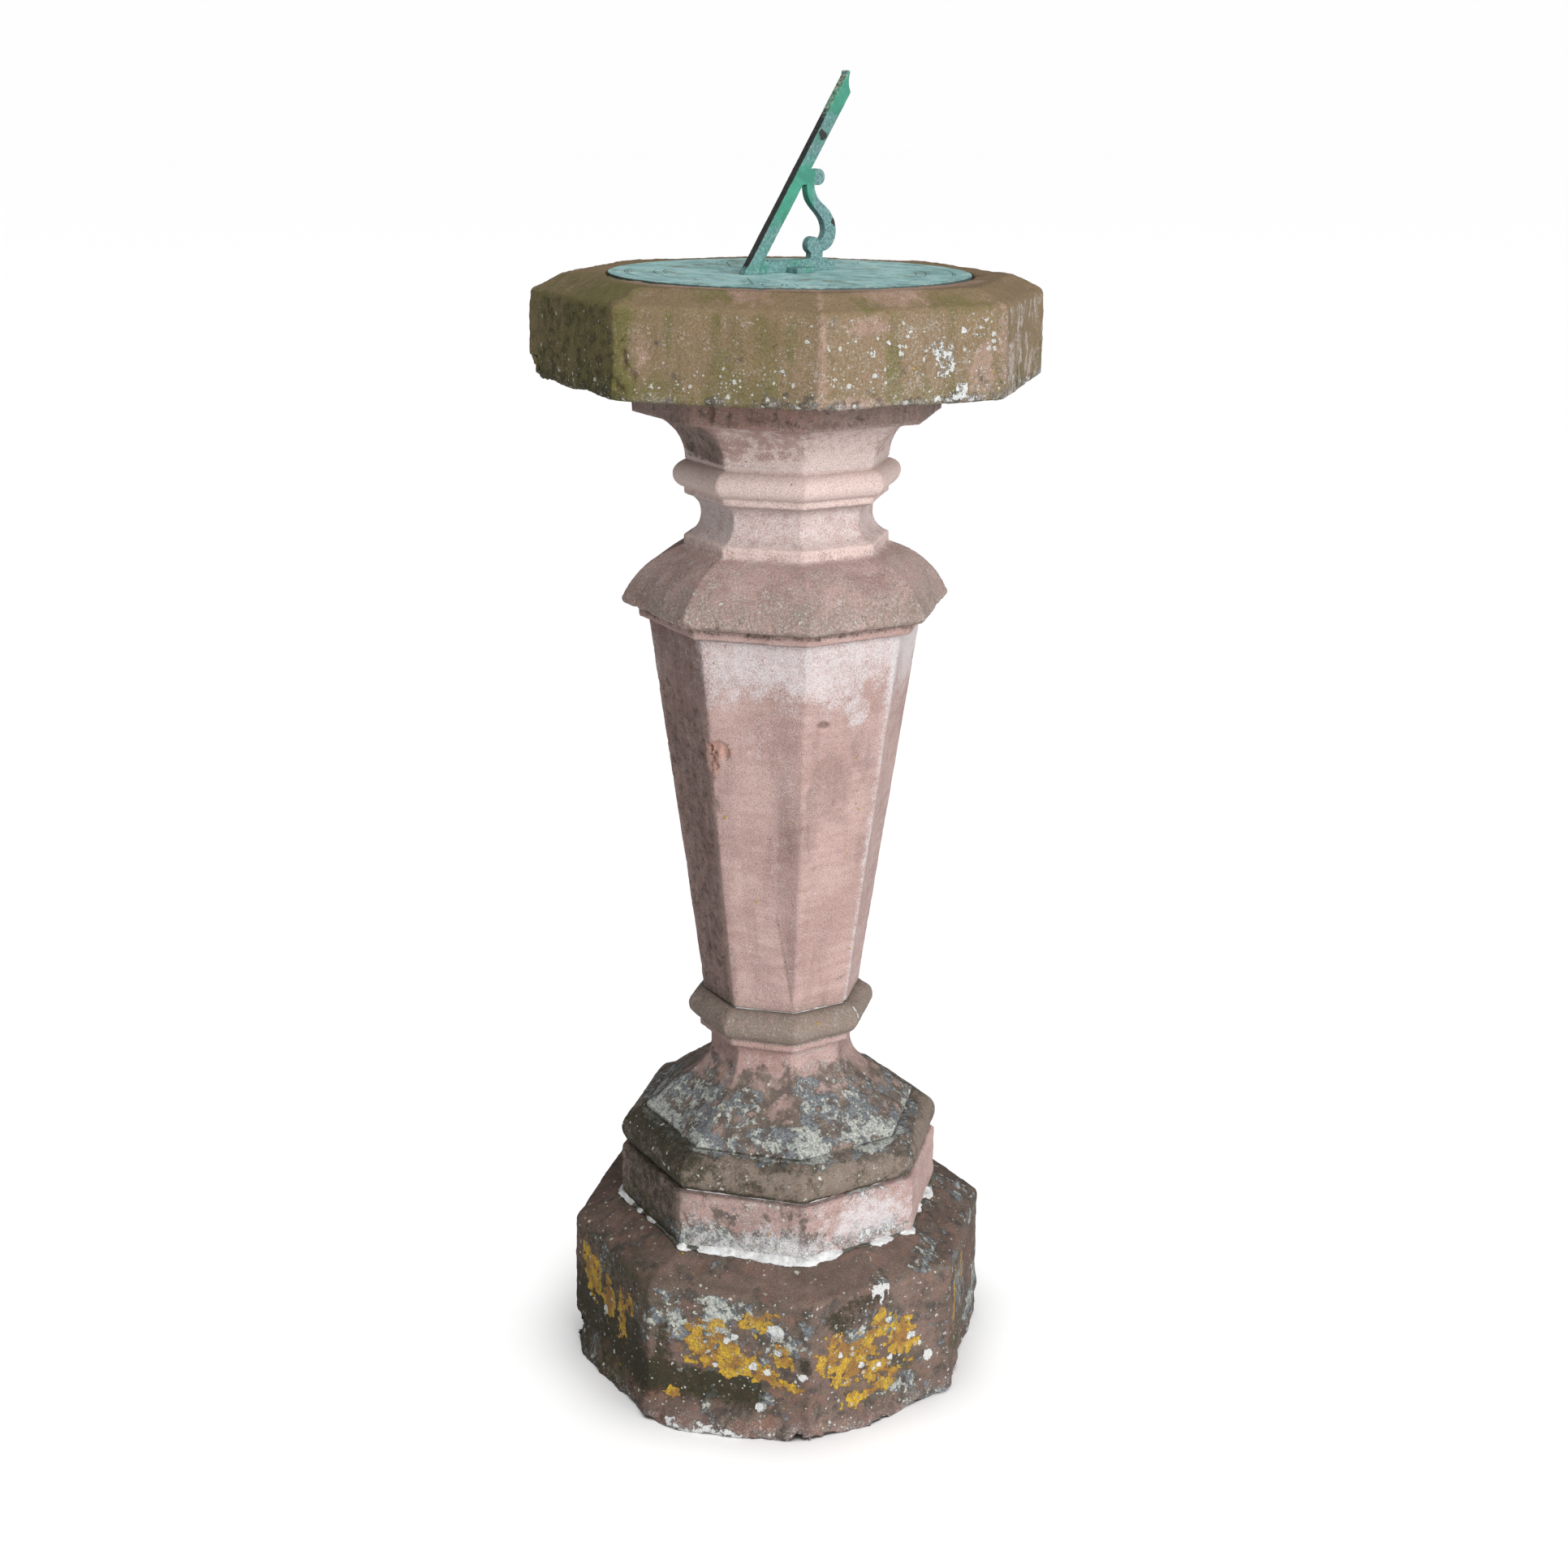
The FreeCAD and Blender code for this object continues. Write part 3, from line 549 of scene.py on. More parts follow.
def base_block(material):
    """The roughest stone: its arrises are rounded, and its lowest edge swells and is torn."""
    s = Stone("base_block", "base_block_weathered", 2.1, 11)
    s.wear(0.7, 5, 3.5, 26)
    hem = 1 - smoothstep(s.height, 3 * MM, 30 * MM)
    hem *= smoothstep(s.radius, 168 * MM, 176 * MM)
    swell = 17 * s.facing(33, 17, 10) + 10 * s.facing(70, 14, 12) + 8 * s.facing(-8, 22, 10)
    ragged = fractal(s.start, 32 * MM, 31, 4, 0.6)
    s.points += s.outward * (hem * (swell + 4 * ragged) * MM)[:, None]
    s.roughen([(70, 1.3), (18, 0.8), (6, 0.4)])
    rough = 1 - smoothstep(s.height, 24 * MM, 58 * MM)
    torn = fractal(s.start, 15 * MM, 35, 4, 0.6)
    s.points += s.normals() * (rough * torn * 1.8 * MM)[:, None]
    s.bite(-34, 4, 20, 26, 7)
    s.bite(54.5, 1, 6, 9, 6)
    s.bite(78, 1, 12, 6, 3)
    s.stand_on(0)

    z = s.height
    top = smoothstep(z, 124 * MM, 134 * MM)
    side = 1 - top
    left = s.facing(-12, 24)
    right = s.facing(124, 24)
    ochre = highest(s, [(24, 92, 12, 9), (26, 72, 20, 17), (32, 76, 22, 17), (39, 66, 24, 15),
                        (46, 56, 16, 10), (42, 105, 16, 11), (46, 112, 10, 8), (52, 49, 14, 6),
                        (19, 26, 9, 7), (64, 90, 10, 10), (65, 66, 16, 20), (70, 62, 18, 24),
                        (87, 68, 10, 10),
                        (75, 72, 18, 19), (80, 90, 11, 18), (85, 72, 14, 20), (90, 62, 11, 17),
                        (79, 30, 24, 7), (71, 24, 14, 8), (84, 42, 15, 7), (-27, 104, 14, 9),
                        (-22, 84, 18, 26), (-12, 80, 16, 28), (-3, 72, 11, 34), (2, 92, 8, 16),
                        (111, 82, 7, 34), (122, 92, 6, 24), (36, 60, 20, 12),
                        (30, 96, 14, 12), (50, 76, 10, 14), (60, 74, 8, 14), (77, 50, 26, 14),
                        (68, 78, 14, 12), (88, 84, 10, 14)], 0.84, 0.6)
    unseen = s.facing(-125, 78, 10) * s.band(40, 104, 18)
    ochre = np.maximum(ochre, unseen * smoothstep(s.clouds(50, 3), 0.5, 0.75) * 0.62)
    white = highest(s, [(48.5, 102, 10, 6.5), (34, 86, 4.5, 4), (36.5, 90, 5, 4),
                        (42, 64, 5, 5), (46, 60, 4, 4.5), (55.5, 60, 5, 4), (90, 72, 5, 5),
                        (96, 46, 6, 6.5), (44, 25, 5, 4), (73, 58, 4, 3.5), (83, 56, 4, 3),
                        (82, 94, 4, 4), (-14, 62, 4, 5), (49, 80, 5, 4), (93, 60, 3, 4),
                        (79, 52, 3, 3), (31, 60, 3, 3), (66, 74, 3, 4)], 1.0, 0.3)
    white = np.maximum(white, highest(s, [(79.6, 127, 13, 5)], 0.85, 0.4))
    drip = s.spread(79, 119, 12, 10, 0.2) * smoothstep(s.streaks(3, 40, 2), 0.45, 0.6)
    white = np.maximum(white, 0.7 * drip)
    plaster = highest(s, [(21, 4, 14, 9), (29, 3, 20, 8), (37, 2, 16, 6)], 0.56, 0.6)
    belt = s.band(24, 54, 9) * smoothstep(s.clouds(40, 5), 0.25, 0.6)
    front = s.facing(32, 24)
    # On the left faces the grime, stain, green and algae below are partly painted shade, and the
    # grime in inner corners is painted shade.
    grime = 0.80 * belt * front + 0.35 * belt * s.facing(76, 24) + 0.42 * left * side
    grime += 0.35 * left * s.band(30, 80, 14)
    grime += highest(s, [(67, 104, 22, 16), (74, 118, 34, 9), (64, 60, 4, 26), (16, 60, 12, 16),
                         (56, 70, 8, 18), (34, 44, 30, 10), (16, 84, 8, 26)], 0.56, 0.4)
    grime = np.where(s.edge > 0.5, 0.6 * grime, grime) + 0.3 * s.crease * side
    shade = 0.6 * side * s.clouds(40, 6) + 0.5 * belt + 0.3 * left
    shade += 0.35 * top * s.clouds(24, 12) * (1 - left)
    shade += 0.5 * side * s.spread(73, 112, 44, 20)
    shade -= 0.25 * side * s.facing(82, 22)
    crust = 0.66 * top * s.clouds(50, 7) + 0.84 * side * s.clouds(30, 8)
    crust += 0.3 * front * side * (s.clouds(9, 16) - 0.35)
    crust += 0.12 * front * s.band(84, 124, 12) + 0.1 * right
    crust += highest(s, [(98, 137, 12, 8), (94, 134, 10, 6), (80, 134, 10, 5), (104, 140, 8, 6)],
                     0.4, 0.5)
    green = 0.8 * side * s.band(18, 60, 14) + 0.5 * left
    film = 0.55 * side * s.clouds(40, 1) + 0.35 * top + 0.3 * belt + 0.3 * left * side
    film += 0.3 * front * s.band(80, 130, 12)
    fresh = 0.9 * front * s.band(8, 44, 6) * smoothstep(s.clouds(16, 9), 0.42, 0.64)
    fresh += 0.5 * smoothstep(s.clouds(9, 15), 0.55, 0.75)
    s.paint(ochre=ochre * (1 - 0.7 * plaster), white=np.maximum(white, plaster), grime=grime,
            shade=shade, crust=crust, film=film * (1 - fresh), green=green, fresh=fresh,
            dots=0.13 * side + 0.10 * top,
            bloom=0.25 * (1 - smoothstep(z, 4 * MM, 26 * MM)) * s.facing(50, 60)
            + 0.3 * s.edge * side * s.clouds(20, 17))
    return s.finish(material)


def plinth_stone(material):
    s = Stone("plinth_stone", "plinth_weathered", 1.45, 21)
    s.wear(0.45, 2, 2.0, 18)
    s.roughen([(50, 0.8), (14, 0.4), (4, 0.32)])
    s.bite(13.5, 168, 7, 14, 2.4)
    s.bite(60, 151, 30, 3, 1.6)
    z = s.height
    left = s.facing(-12, 23)
    front = s.facing(34, 24)
    side = s.facing(80, 24)
    low = 1 - smoothstep(z, 158 * MM, 184 * MM)
    haze = s.spread(86, 176, 40, 22, 0.4)
    patchy = s.clouds(22, 2) - 0.5
    flecks = s.clouds(7, 6) - 0.5
    bloom = front * (0.12 + 0.40 * low + 0.5 * patchy + 0.5 * flecks)
    bloom += side * (0.22 + 0.24 * low + 0.3 * patchy + 0.4 * flecks) + 0.38 * haze
    bloom += 0.2 * s.facing(124, 23)
    crust = 0.80 * front * (0.35 + 0.65 * low) + side * (0.2 + 0.4 * low) + 0.6 * left * low
    # On the left faces the salt left off and the grime, stain, algae and green put on are partly
    # painted shade; the stain in inner corners is painted shade.
    s.paint(bloom=bloom * (1 - left), crust=crust + 0.2 * s.clouds(20, 3) * front,
            grime=0.6 * left * (1 - 0.15 * low) + 0.35 * s.band(148, 153, 2),
            shade=0.9 * left + 0.5 * front * s.clouds(26, 4) + 0.25 * side + 0.5 * s.crease,
            film=0.72 * left + 0.3 * front, green=0.5 * left * low,
            dots=0.20 * front + 0.12 * side,
            white=0.5 * s.band(196, 201, 1.5) * s.facing(80, 26)
            * smoothstep(s.clouds(14, 8), 0.3, 0.6)
            + 0.5 * side * low * s.spread(88, 158, 34, 8, 0.6))
    return s.finish(material)


def foot_stone(material):
    s = Stone("foot_stone", "foot_weathered", 1.65, 31)
    s.wear(0.4, 2, 2.0, 15)
    z = s.height
    skirt = s.band(236, 294, 10) * (1 - smoothstep(s.radius, 128 * MM, 131 * MM))
    roll = s.band(203, 237, 3)
    ring = s.band(322, 352, 2)
    neck = s.band(292, 322, 6)
    s.roughen([(45, 0.7), (12, 0.35), (4, 0.25)])
    pitted = fractal(s.start, 8 * MM, 39, 4, 0.65)
    s.points += s.normals() * ((skirt + 0.5 * roll) * pitted * 0.6 * MM)[:, None]
    left = s.facing(-12, 24)
    front = s.facing(34, 24)
    near = s.facing(80, 24)
    drift = s.clouds(30, 3)
    ragged_height = z + 34 * MM * (s.clouds(26, 12) - 0.5)
    fade = 1 - smoothstep(ragged_height, 252 * MM, 300 * MM)
    crust = skirt * (0.16 + 0.26 * fade + 0.46 * fade * drift + 0.2 * near + 0.20 * left)
    crust += 0.30 * s.band(286, 306, 6) * s.clouds(16, 11)
    crust += 0.50 * s.band(228, 244, 5) * s.clouds(26, 4)
    crust += 0.34 * roll * s.clouds(30, 5) + 0.3 * roll * s.facing(98, 12)
    rusty = roll * smoothstep(s.clouds(13, 14), 0.5, 0.75)
    film = 0.62 * skirt * fade + 0.95 * roll + 0.85 * ring
    film += (0.35 * neck + 0.3 * skirt * (1 - fade)) * s.clouds(20, 6)
    # Painted shade, with some dirt: the stain and grime in inner corners and in the band at the foot
    # of the roll, which the roll shades; and the grime on the left faces.
    shade = 0.52 * skirt * (0.3 + 0.7 * fade) + 1.1 * roll + 0.9 * s.crease + 0.28 * ring
    shade += 0.5 * s.band(200, 214, 5) + 0.4 * neck * (1 - near)
    grime = 0.16 * left * skirt + 0.62 * left * roll + 0.16 * left * ring
    grime += 0.42 * roll * s.clouds(22, 15)
    grime += 0.16 * front * roll
    grime += 0.5 * s.band(200, 206, 2) + 0.4 * s.crease * (skirt + roll)
    ochre = highest(s, [(18, 264, 6, 6), (20, 257, 4, 4), (-8, 280, 7, 5)], 0.5, 0.6)
    green = 0.20 * s.band(200, 216, 6) + 0.5 * neck * s.spread(100, 292, 30, 22)
    green += 0.15 * ring
    green += 0.3 * skirt * drift
    seam = np.abs(z - 239.5 * MM) + np.abs(s.radius - 122.5 * MM) * 0.6
    seam = (1 - smoothstep(seam, 1.5 * MM, 4.5 * MM)) * s.facing(124, 22, 3)
    white = highest(s, [(105, 343, 2, 7)], 0.85, 0.5)
    white = np.maximum(white, 0.75 * seam * smoothstep(s.clouds(14, 13), 0.2, 0.5))
    s.paint(crust=crust, grime=grime, film=film, green=green, ochre=ochre, shade=shade,
            bloom=0.24 * neck * near + 0.18 * neck * front + 0.16 * ring + 0.06 * roll
            + 0.16 * skirt * (left + s.facing(98, 24)),
            dots=0.10 * roll + 0.10 * skirt + 0.03 * ring,
            fresh=0.25 * neck * front + 0.6 * rusty,
            white=white)
    return s.finish(material)


def shaft_stone(material):
    s = Stone("shaft_stone", "shaft_weathered", 1.95, 41)
    s.wear(0.3, 2, 1.2, 12)
    s.roughen([(60, 0.45), (10, 0.16), (4, 0.15)])
    s.bite(14.5, 598, 13, 9, 4.5)
    s.bite(12, 588, 6, 12, 4.5)
    s.bite(67, 625, 5.5, 2.6, 2.6)
    s.bite(12.3, 548, 3, 7, 2)
    s.bite(57.3, 536, 2.5, 5, 1.5)
    z = s.height
    left = s.facing(-11, 23)
    front = s.facing(34, 23)
    right = s.facing(124, 22)
    lobes = 34 * MM * (s.clouds(40, 2) - 0.5) + 14 * MM * (s.clouds(12, 3) - 0.5)
    haze = smoothstep(z + lobes, 626 * MM, 676 * MM)
    haze = np.maximum(haze, 0.75 * s.spread(84, 640, 18, 24, 0.5))
    haze = np.maximum(haze, 0.35 * s.spread(34, 610, 9, 24, 0.6))
    runs = smoothstep(s.streaks(9, 300), 0.5, 0.85)
    hem = 1 - smoothstep(z, 354 * MM, 372 * MM)
    crack = 57.3 - 11 * np.clip((z - 353 * MM) / (85 * MM), 0, 1.2)
    aside = np.radians(np.abs(s.angle - crack)) * s.radius
    line = (1 - smoothstep(aside, 0.5 * MM, 2.2 * MM)) * s.band(354, 448, 10)
    between = smoothstep(s.angle, crack, crack + 3) * s.facing(50, 8, 2) * s.band(350, 560, 30)
    smear = highest(s, [(72, 566, 26, 36), (90, 600, 12, 30), (64, 540, 8, 50)], 0.6, 0.5)
    bands = s.facing(49, 7, 4) * s.band(470, 660, 50)
    bands += 0.5 * s.facing(37, 2, 2) * s.band(560, 660, 30)
    # On the left faces the stain, grime and algae put on and the salt left off are painted shade,
    # the algae partly.
    shade = 0.22 * runs + 0.40 * between + 0.6 * line + 0.85 * left + smear * 0.55
    shade += highest(s, [(67, 625, 7, 3.5)], 1.0, 0.3) + 0.32 * bands
    fresh = highest(s, [(14.5, 598, 13, 10), (12.5, 588, 7, 13)], 1.0, 0.3)
    s.paint(bloom=0.62 * haze * (1 - 0.75 * left) + 0.22 * right + 0.10 * runs
            + 0.05 * s.clouds(60, 6) + 0.12 * bands + 0.3 * s.facing(102, 2, 2),
            shade=shade, fresh=fresh,
            grime=0.34 * left * (1 - 0.6 * haze) + 0.5 * line * s.clouds(20, 4) + 0.1 * smear,
            film=0.34 * hem + 0.20 * left * s.clouds(40, 5) + 0.26 * smear
            + 0.10 * s.clouds(70, 7) * (1 - front), green=0.3 * hem,
            dots=0.02 * haze, crust=0.1 * hem,
            white=highest(s, [(126, 420, 2, 60), (122, 520, 2, 40)], 0.3, 0.5))
    return s.finish(material)


def capital_stone(material):
    s = Stone("capital_stone", "capital_weathered", 1.95, 51)
    s.wear(0.3, 2, 1.2, 12)
    s.roughen([(50, 0.45), (10, 0.18), (4, 0.17)])
    z = s.height
    lip = s.band(704, 717, 3) * smoothstep(s.radius, 118 * MM, 124 * MM)
    flakes = smoothstep(fractal(s.start * np.array([1, 1, 0.3]), 17 * MM, 57, 4, 0.65), 0.1, 0.7)
    s.points[:, 2] += lip * flakes * 3.2 * MM
    s.points -= s.outward * (lip * flakes * 2.2 * MM)[:, None]
    bell = s.band(706, 759, 3)
    tooling = np.sin((np.radians(s.angle) * s.radius + 0.7 * z) / (0.75 * MM))
    s.points += s.normals() * (bell * tooling * s.clouds(30, 8) * 0.25 * MM)[:, None]
    s.bite(19.7, 885, 3, 10, 2.5)
    s.bite(36, 881, 8, 2, 2.0)
    s.bite(57, 876, 12, 4, 2.0)
    left = s.facing(-11, 23)
    front = s.facing(34, 24)
    near = s.facing(80, 24)
    cornice = s.band(872, 901, 2)
    hollow = s.band(836, 872, 3)
    torus = s.band(809, 835, 2)
    neck = s.band(769, 803, 3)
    fillets = s.band(759, 770, 2) + s.band(803, 810, 2)
    ledge = s.band(827, 841, 3)
    fibres = smoothstep(s.clouds(5, 5) + 0.25 * s.clouds(40, 4), 0.5, 0.8)
    bloom = hollow * (0.12 + 0.46 * near + 0.46 * fibres) + neck * (0.54 + 0.02 * near)
    bloom += (1.0 - 0.14 * near) * torus + 0.62 * fillets + 0.35 * ledge + 0.26 * bell
    bloom += 0.3 * hollow * (1 - smoothstep(z, 838 * MM, 856 * MM)) + 0.1 * cornice
    # The salt is kept off the hollow's left face as painted shade and added on the neck's left face
    # as painted light.
    bloom -= 0.8 * left * hollow - 0.15 * left * neck
    low = 1 - smoothstep(z, 720 * MM, 750 * MM)
    # On the hollow's left face the algae, and the green on the left faces below, are partly painted
    # shade.
    film = bell * (0.34 * low + 0.14 + 0.3 * s.clouds(26, 9)) + 0.5 * left * hollow
    film += 0.45 * cornice * (0.6 + 0.4 * s.clouds(20, 3))
    # Painted shade on the cornice fillet under the table's overhang, with some stain; on the
    # hollow's left face; and in inner corners.
    shade = 0.55 * cornice + 0.95 * hollow * left + 0.8 * s.crease
    shade += highest(s, [(-7, 739, 16, 18), (16, 736, 16, 16), (44, 740, 18, 12), (-20, 728, 12, 18),
                         (88, 741, 22, 14), (60, 736, 10, 14)], 0.46, 0.5)
    # Painted shade in the crease where the hollow meets the cornice fillet.
    shade += 0.45 * smoothstep(z, 866 * MM, 874 * MM) * (1 - cornice)
    shade += highest(s, [(37, 882, 10, 4), (19.7, 885, 3, 12), (62, 878, 14, 3),
                         (26, 876, 8, 3)], 1.2, 0.5)
    # Grime on the cornice, and painted shade on the hollow's left face, under the lip and under the
    # table's overhang.
    grime = 0.36 * cornice * s.clouds(14, 2) + 0.36 * left * hollow
    grime += 0.5 * s.band(702, 707, 2) + 0.4 * s.band(894, 901, 3)
    s.paint(bloom=bloom, grime=grime, shade=shade, film=film,
            green=0.12 * bell * low + 0.1 * left, dots=0.10 * bell * low + 0.03 * cornice,
            warm=torus + fillets + 0.8 * hollow + 0.35 * neck + 0.4 * bell,
            fresh=0.6 * cornice * front + 0.5 * lip * flakes, crust=0.26 * cornice
            + 0.22 * bell * low * s.clouds(30, 7))
    return s.finish(material)


def table_slab(material):
    s = Stone("table_slab", "table_weathered", 2.15, 61)
    s.wear(0.35, 2, 2.0, 20)
    s.roughen([(60, 0.8), (15, 0.4), (4.5, 0.32)])
    s.bite(12, 933, 6, 9, 4.5)
    s.bite(11, 911, 6, 6, 4.5)
    s.bite(14, 921, 6, 4, 3)
    s.bite(-34, 905, 13, 15, 10)
    s.bite(-24, 901, 18, 4, 2.5)
    s.bite(-6, 901, 22, 3, 1.8)
    s.bite(128, 905, 10, 6, 4)
    s.bite(99, 921, 3, 3, 2.5)
    z = s.height
    top = smoothstep(z, 967 * MM, 975 * MM)
    side = 1 - top
    low = 1 - smoothstep(z, 900 * MM, 936 * MM)
    left = s.facing(-12, 23)
    near = s.facing(78, 24)
    right = s.facing(122, 23)
    runs = s.streaks(12, 150)
    pink = highest(s, [(55.3, 940, 4, 60), (100, 945, 9, 44), (15, 942, 10, 22),
                       (66, 962, 20, 8),
                       (40, 983, 26, 9), (75, 983, 30, 9), (62, 903, 30, 7),
                       (95, 925, 12, 24)], 0.62, 0.5)
    halo = top * (1 - smoothstep(s.radius, 163 * MM, 172 * MM))
    pink = np.maximum(pink, 1.15 * halo * s.facing(56, 60, 20))
    # On the left face the algae, and the green below, are partly painted shade.
    film = 0.92 * side + 0.88 * top + 0.3 * (s.clouds(40, 1) - 0.5) + 0.3 * left * side
    film = film * (1 - 0.80 * np.minimum(pink, 1.25)) - 0.10 * near * side
    green = 0.45 * low * side + 0.75 * left + 0.5 * side * smoothstep(runs, 0.5, 0.8)
    green += highest(s, [(19, 908, 12, 16), (34, 925, 8, 24), (49, 945, 6, 30), (72, 925, 8, 24),
                         (30, 982, 26, 8), (90, 975, 30, 8), (66, 976, 18, 6), (-5, 980, 60, 8)],
                     0.6, 0.5)
    dots = 0.05 * side + 0.20 * side * low + 0.08 * near * side
    dots = np.maximum(dots, highest(s, [(84, 938, 20, 24), (88, 926, 18, 28), (91, 914, 20, 16),
                                        (67, 940, 9, 14), (76, 955, 8, 8), (80, 914, 14, 10),
                                        (30, 914, 28, 12), (40, 917, 26, 11), (47, 922, 16, 16),
                                        (68, 918, 14, 12)], 0.45, 0.5))
    white = highest(s, [(83.5, 939, 8, 9), (86.5, 932, 5, 14), (85, 926, 6, 8), (90, 912, 9, 9),
                        (87, 906, 12, 6), (67, 941, 3, 4), (76, 956, 3, 3), (90, 956, 3, 3),
                        (71, 949, 2.5, 2.5), (93, 952, 3, 3)], 0.62, 0.9)
    fine_runs = smoothstep(s.streaks(3, 60, 6), 0.45, 0.8)
    # Painted shade on the left face, on the right narrow face and in inner corners.
    shade = 0.62 * left * side + 0.25 * side * smoothstep(runs, 0.55, 0.8) + 0.3 * s.crease
    shade += 0.22 * side * (1 - right) * fine_runs + highest(
        s, [(20, 955, 16, 10), (44, 950, 14, 22), (62, 930, 10, 18), (24, 915, 10, 12)], 0.34, 0.6)
    shade += 0.25 * s.band(905, 925, 8) * s.facing(14, 12) + 0.22 * right * side
    fresh = highest(s, [(12.5, 933, 6, 8), (11, 911, 6, 6), (14, 921, 6, 4)], 0.6, 0.4)
    # On the left face the grime put on and the salt left off are painted shade.
    s.paint(film=film * (1 - 0.6 * fresh), green=green, dots=dots, white=white, shade=shade,
            grime=0.36 * left * side + 0.16 * left * low + 0.12 * side * runs
            + 0.2 * right * low * s.clouds(12, 9),
            bloom=(0.14 * side + 0.06 * near * side) * (1 - left) + 0.42 * right * side
            * smoothstep(s.clouds(14, 4), 0.45, 0.7) * s.streaks(10, 40, 4)
            + 0.2 * s.band(901, 906, 1.5) * s.clouds(16, 11),
            crust=0.2 * side * low + 0.12 * side * (1 - left) + 0.2 * s.band(901, 908, 2),
            fresh=np.maximum(fresh, 0.35 * pink))
    return s.finish(material)


def mortar_pointing(material):
    """The bead of mortar, broken away in places and lumpy where it is left."""
    s = Stone("mortar_pointing", "mortar_pointing_bead", 1.1, 71)
    gaps = [(3, 9), (-14, 2), (-21, 2), (78.7, 7), (96, 2.5), (110, 6), (150, 14), (-60, 12),
            (-100, 8), (-150, 16)]
    kept = np.ones(len(s.points))
    for angle, half in gaps:
        kept *= 1 - s.facing(angle, half, 2.5)
    kept *= smoothstep(s.clouds(24, 3), 0.10, 0.30)
    kept *= 1 - 0.35 * s.facing(-12, 24)
    size = 0.06 + 0.54 * kept + 0.22 * fractal(s.start, 11 * MM, 77, 4)
    inside = 0.955         # of the bead's radius, where it meets the plinth
    middle = s.start * np.array([inside, inside, 0])
    middle[:, 2] = 149.5 * MM
    s.points = middle + (s.start - middle) * size[:, None]
    s.roughen([(8, 0.5), (3, 0.25)])
    s.paint(grime=0.8 * (1 - smoothstep(kept, 0.1, 0.5)) + 0.12 * s.clouds(10, 5))
    return s.finish(material)


def gnomon(material):
    """The casting, its edges softened by hands and weather."""
    s = Stone("gnomon", "gnomon_casting", 0.62, 81)
    s.wear(0.5, 3, 0.4, 6)
    s.roughen([(14, 0.12), (3.5, 0.08)])
    normal = s.normals()
    y, z = s.start[:, 1], s.height
    style = smoothstep(-normal[:, 1], 0.35, 0.65) * smoothstep(normal[:, 2], 0.1, 0.35)
    style *= smoothstep(z, 988 * MM, 994 * MM)
    foot = y.min() + 12 * MM
    style *= np.abs(y - foot - 0.70 * (z - z.min())) < 14 * MM
    high = smoothstep(z, 1100 * MM, 1118 * MM)
    worn = s.clouds(22, 2)
    bare = style * (0.66 + 0.5 * worn) * (1 - 0.45 * high)
    for spot_y, spot_z, reach in ((31.5, 1093.5, 4.6), (45.5, 1024.5, 3.4)):
        spot = np.hypot(y - spot_y * MM, z - spot_z * MM) / (reach * MM)
        spot = spot + 0.35 * fractal(s.start, 3 * MM, 88)
        bare = np.maximum(bare, 0.95 * (1 - smoothstep(spot, 0.6, 1.1)))
    scroll = smoothstep(y, 17 * MM, 27 * MM) * (1 - smoothstep(z, 1070 * MM, 1080 * MM))
    smooth_bar = s.band(1030, 1070, 12)
    smooth_bar += 0.8 * s.band(1112, 1138, 6)
    s.paint(bare=bare, crystal=0.62 + 0.3 * scroll - 0.55 * smooth_bar * (1 - scroll),
            dull=0.06 + 0.26 * s.band(1074, 1112, 8),
            pale=0.40 * smoothstep(s.edge, 0.3, 0.8) * (1 - style) + 0.5 * style * high)
    return s.finish(material)


# ---- building -----------------------------------------------------------------------------
base = base_block(sandstone("base_sandstone", light=(0.162, 0.112, 0.094),
                            deep=(0.106, 0.072, 0.064), film=(0.092, 0.072, 0.050)))
column = sandstone("column_sandstone", light=(0.385, 0.272, 0.250),
                   deep=(0.315, 0.212, 0.192), film=(0.170, 0.140, 0.112))
plinth_stone(column)
foot_stone(column)
shaft_stone(column)
capital_stone(column)
table_slab(sandstone("table_sandstone", light=(0.310, 0.222, 0.180),
                     deep=(0.235, 0.162, 0.130), film=(0.163, 0.117, 0.058)))
mortar = lime_mortar("lime_mortar")
mortar_pointing(mortar)
gnomon(verdigris("gnomon_bronze", green=(0.048, 0.225, 0.158), blue=(0.125, 0.220, 0.220),
                 brown=(0.026, 0.021, 0.020)))
screw_bronze = verdigris("screw_bronze", green=(0.16, 0.30, 0.27), blue=(0.26, 0.35, 0.34),
                         brown=(0.08, 0.06, 0.04))

dial_face = max(point.co.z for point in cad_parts["dial_plate"].data.vertices)
carried = [
    (mortar, ["base_mortar_bed", "plinth_mortar_bed", "shaft_mortar_bed",
              "capital_mortar_bed", "slab_mortar_bed"]),
    (plain_metal("dowel_bronze", (0.40, 0.27, 0.12), (0.24, 0.16, 0.08), 0.5),
     ["foot_dowel", "shaft_dowel", "capital_dowel", "slab_dowel"]),
    (plain_metal("lead", (0.30, 0.31, 0.33), (0.18, 0.19, 0.20), 0.6), ["screw_plugs"]),
    (plain_metal("mastic", (0.05, 0.045, 0.04), (0.03, 0.028, 0.025), 0.8),
     ["plate_bedding"]),
    (screw_bronze, ["plate_screws", "gnomon_screws"]),
    (dial_bronze(dial_face), ["dial_plate"]),
]
for material, nodes in carried:
    for node in nodes:
        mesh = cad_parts[node].data
        mesh.materials.clear()
        mesh.materials.append(material)


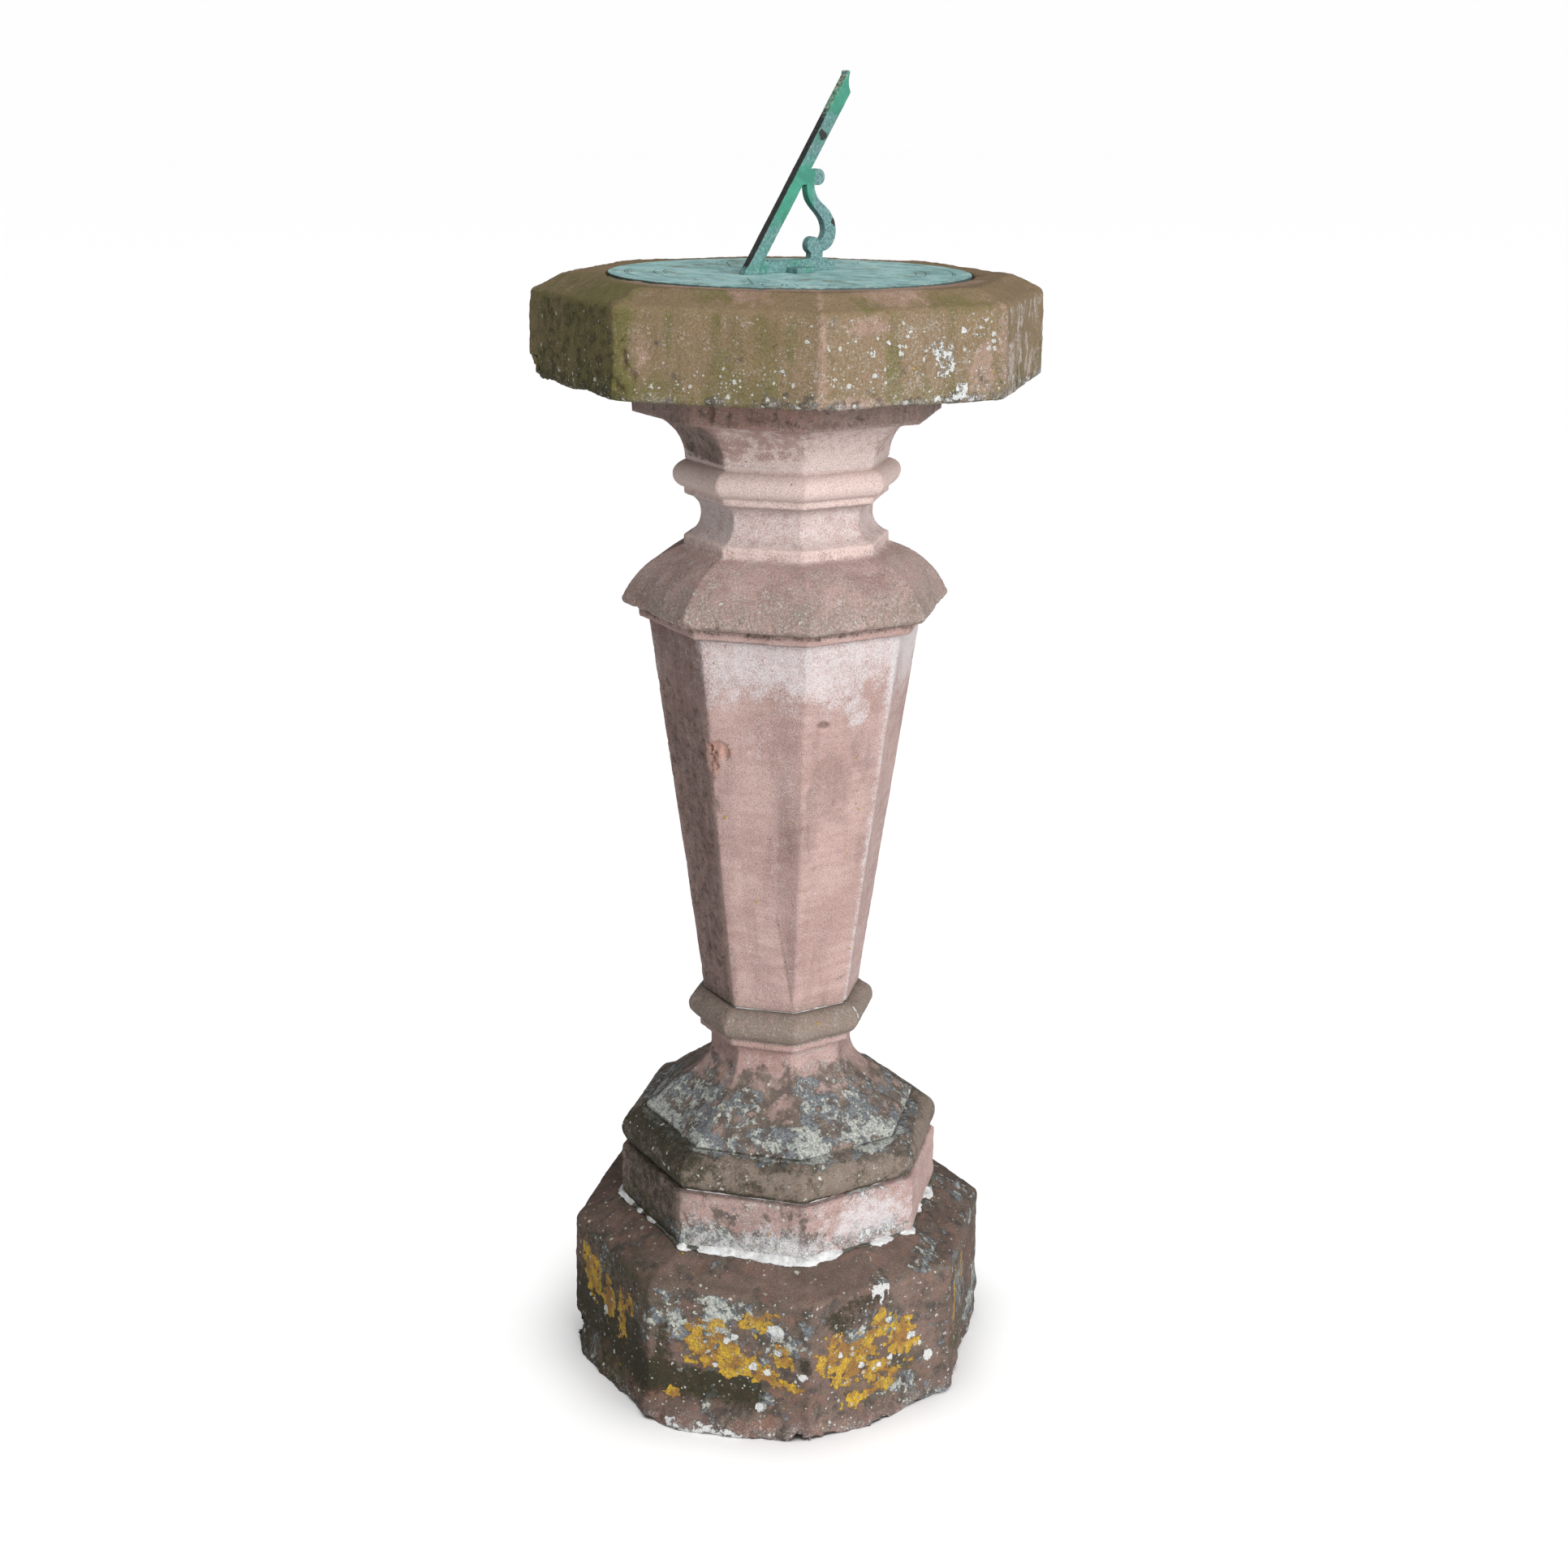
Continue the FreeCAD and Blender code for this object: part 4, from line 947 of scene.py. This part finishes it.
# ---- stage, camera and light --------------------------------------------------------------
def flat_floor():
    mesh = bpy.data.meshes.new("floor")
    corners = [(x * FLOOR_HALF, y * FLOOR_HALF, 0) for x, y in ((-1, -1), (1, -1), (1, 1), (-1, 1))]
    mesh.from_pydata(corners, [], [(0, 1, 2, 3)])
    floor = bpy.data.objects.new("floor", mesh)
    bpy.context.scene.collection.objects.link(floor)
    t = Tree("floor_paper")
    t.surface(FLOOR_WHITE, 0.9, t.noise(4, 2), 0.02)
    mesh.materials.append(t.material)
    return floor


def around(azimuth, distance, height):
    angle = math.radians(azimuth)
    return Vector((distance * math.sin(angle), -distance * math.cos(angle), height))


def soft_sun(name, azimuth, elevation, spread, strength, floor, on_floor):
    """A broad far-off light, which lights either the sundial or only the floor."""
    lamp = bpy.data.lights.new(name, "SUN")
    lamp.angle = math.radians(spread)
    lamp.energy = strength
    holder = bpy.data.objects.new(name, lamp)
    bpy.context.scene.collection.objects.link(holder)
    across = math.cos(math.radians(elevation))
    holder.location = LAMP_DISTANCE * around(azimuth, across, math.sin(math.radians(elevation)))
    holder.rotation_euler = (-holder.location).to_track_quat("-Z", "Y").to_euler()
    lit = bpy.data.collections.new(name + "_lights")
    lit.objects.link(floor)
    lit.collection_objects[0].light_linking.link_state = "INCLUDE" if on_floor else "EXCLUDE"
    holder.light_linking.receiver_collection = lit
    return holder


def short_shadow(lamp, pieces):
    """Only these pieces keep a lamp's light from what it lights."""
    casting = bpy.data.collections.new(lamp.name + "_shadows")
    for piece in pieces:
        casting.objects.link(piece)
    lamp.light_linking.blocker_collection = casting


def pale_world(light, seen):
    """A dim surround for the light it gives, behind which the studio looks white."""
    world = bpy.data.worlds.new("studio")
    world.use_nodes = True
    nodes, links = world.node_tree.nodes, world.node_tree.links
    dim = nodes["Background"]
    white = nodes.new("ShaderNodeBackground")
    for background, strength in ((dim, light), (white, seen)):
        background.inputs["Color"].default_value = (1, 1, 1, 1)
        background.inputs["Strength"].default_value = strength
    ray = nodes.new("ShaderNodeLightPath")
    choose = nodes.new("ShaderNodeMixShader")
    links.new(ray.outputs["Is Camera Ray"], choose.inputs[0])
    links.new(dim.outputs[0], choose.inputs[1])
    links.new(white.outputs[0], choose.inputs[2])
    links.new(choose.outputs[0], nodes["World Output"].inputs["Surface"])
    bpy.context.scene.world = world


def camera():
    data = bpy.data.cameras.new("camera")
    data.sensor_width = 36
    data.lens = CAMERA_LENS
    data.clip_end = 100
    holder = bpy.data.objects.new("camera", data)
    bpy.context.scene.collection.objects.link(holder)
    place = around(CAMERA_AZIMUTH, CAMERA_DISTANCE, CAMERA_HEIGHT)
    turn = Matrix.Rotation(math.radians(CAMERA_AZIMUTH), 4, "Z")
    tilt = Matrix.Rotation(math.radians(90 - CAMERA_PITCH), 4, "X")
    roll = Matrix.Rotation(math.radians(CAMERA_ROLL), 4, "Z")
    holder.matrix_world = Matrix.Translation(place) @ turn @ tilt @ roll
    bpy.context.scene.camera = holder


floor = flat_floor()
camera()
pale_world(light=0.15, seen=0.99)
soft_sun("key", azimuth=77, elevation=21, spread=42, strength=4.6, floor=floor, on_floor=False)
soft_sun("top", azimuth=60, elevation=75, spread=90, strength=1.25, floor=floor, on_floor=False)
floor_wash = soft_sun("floor_wash", azimuth=110, elevation=84, spread=54, strength=3.05,
                      floor=floor, on_floor=True)
short_shadow(floor_wash, [base])
bpy.context.scene.view_settings.view_transform = "Standard"
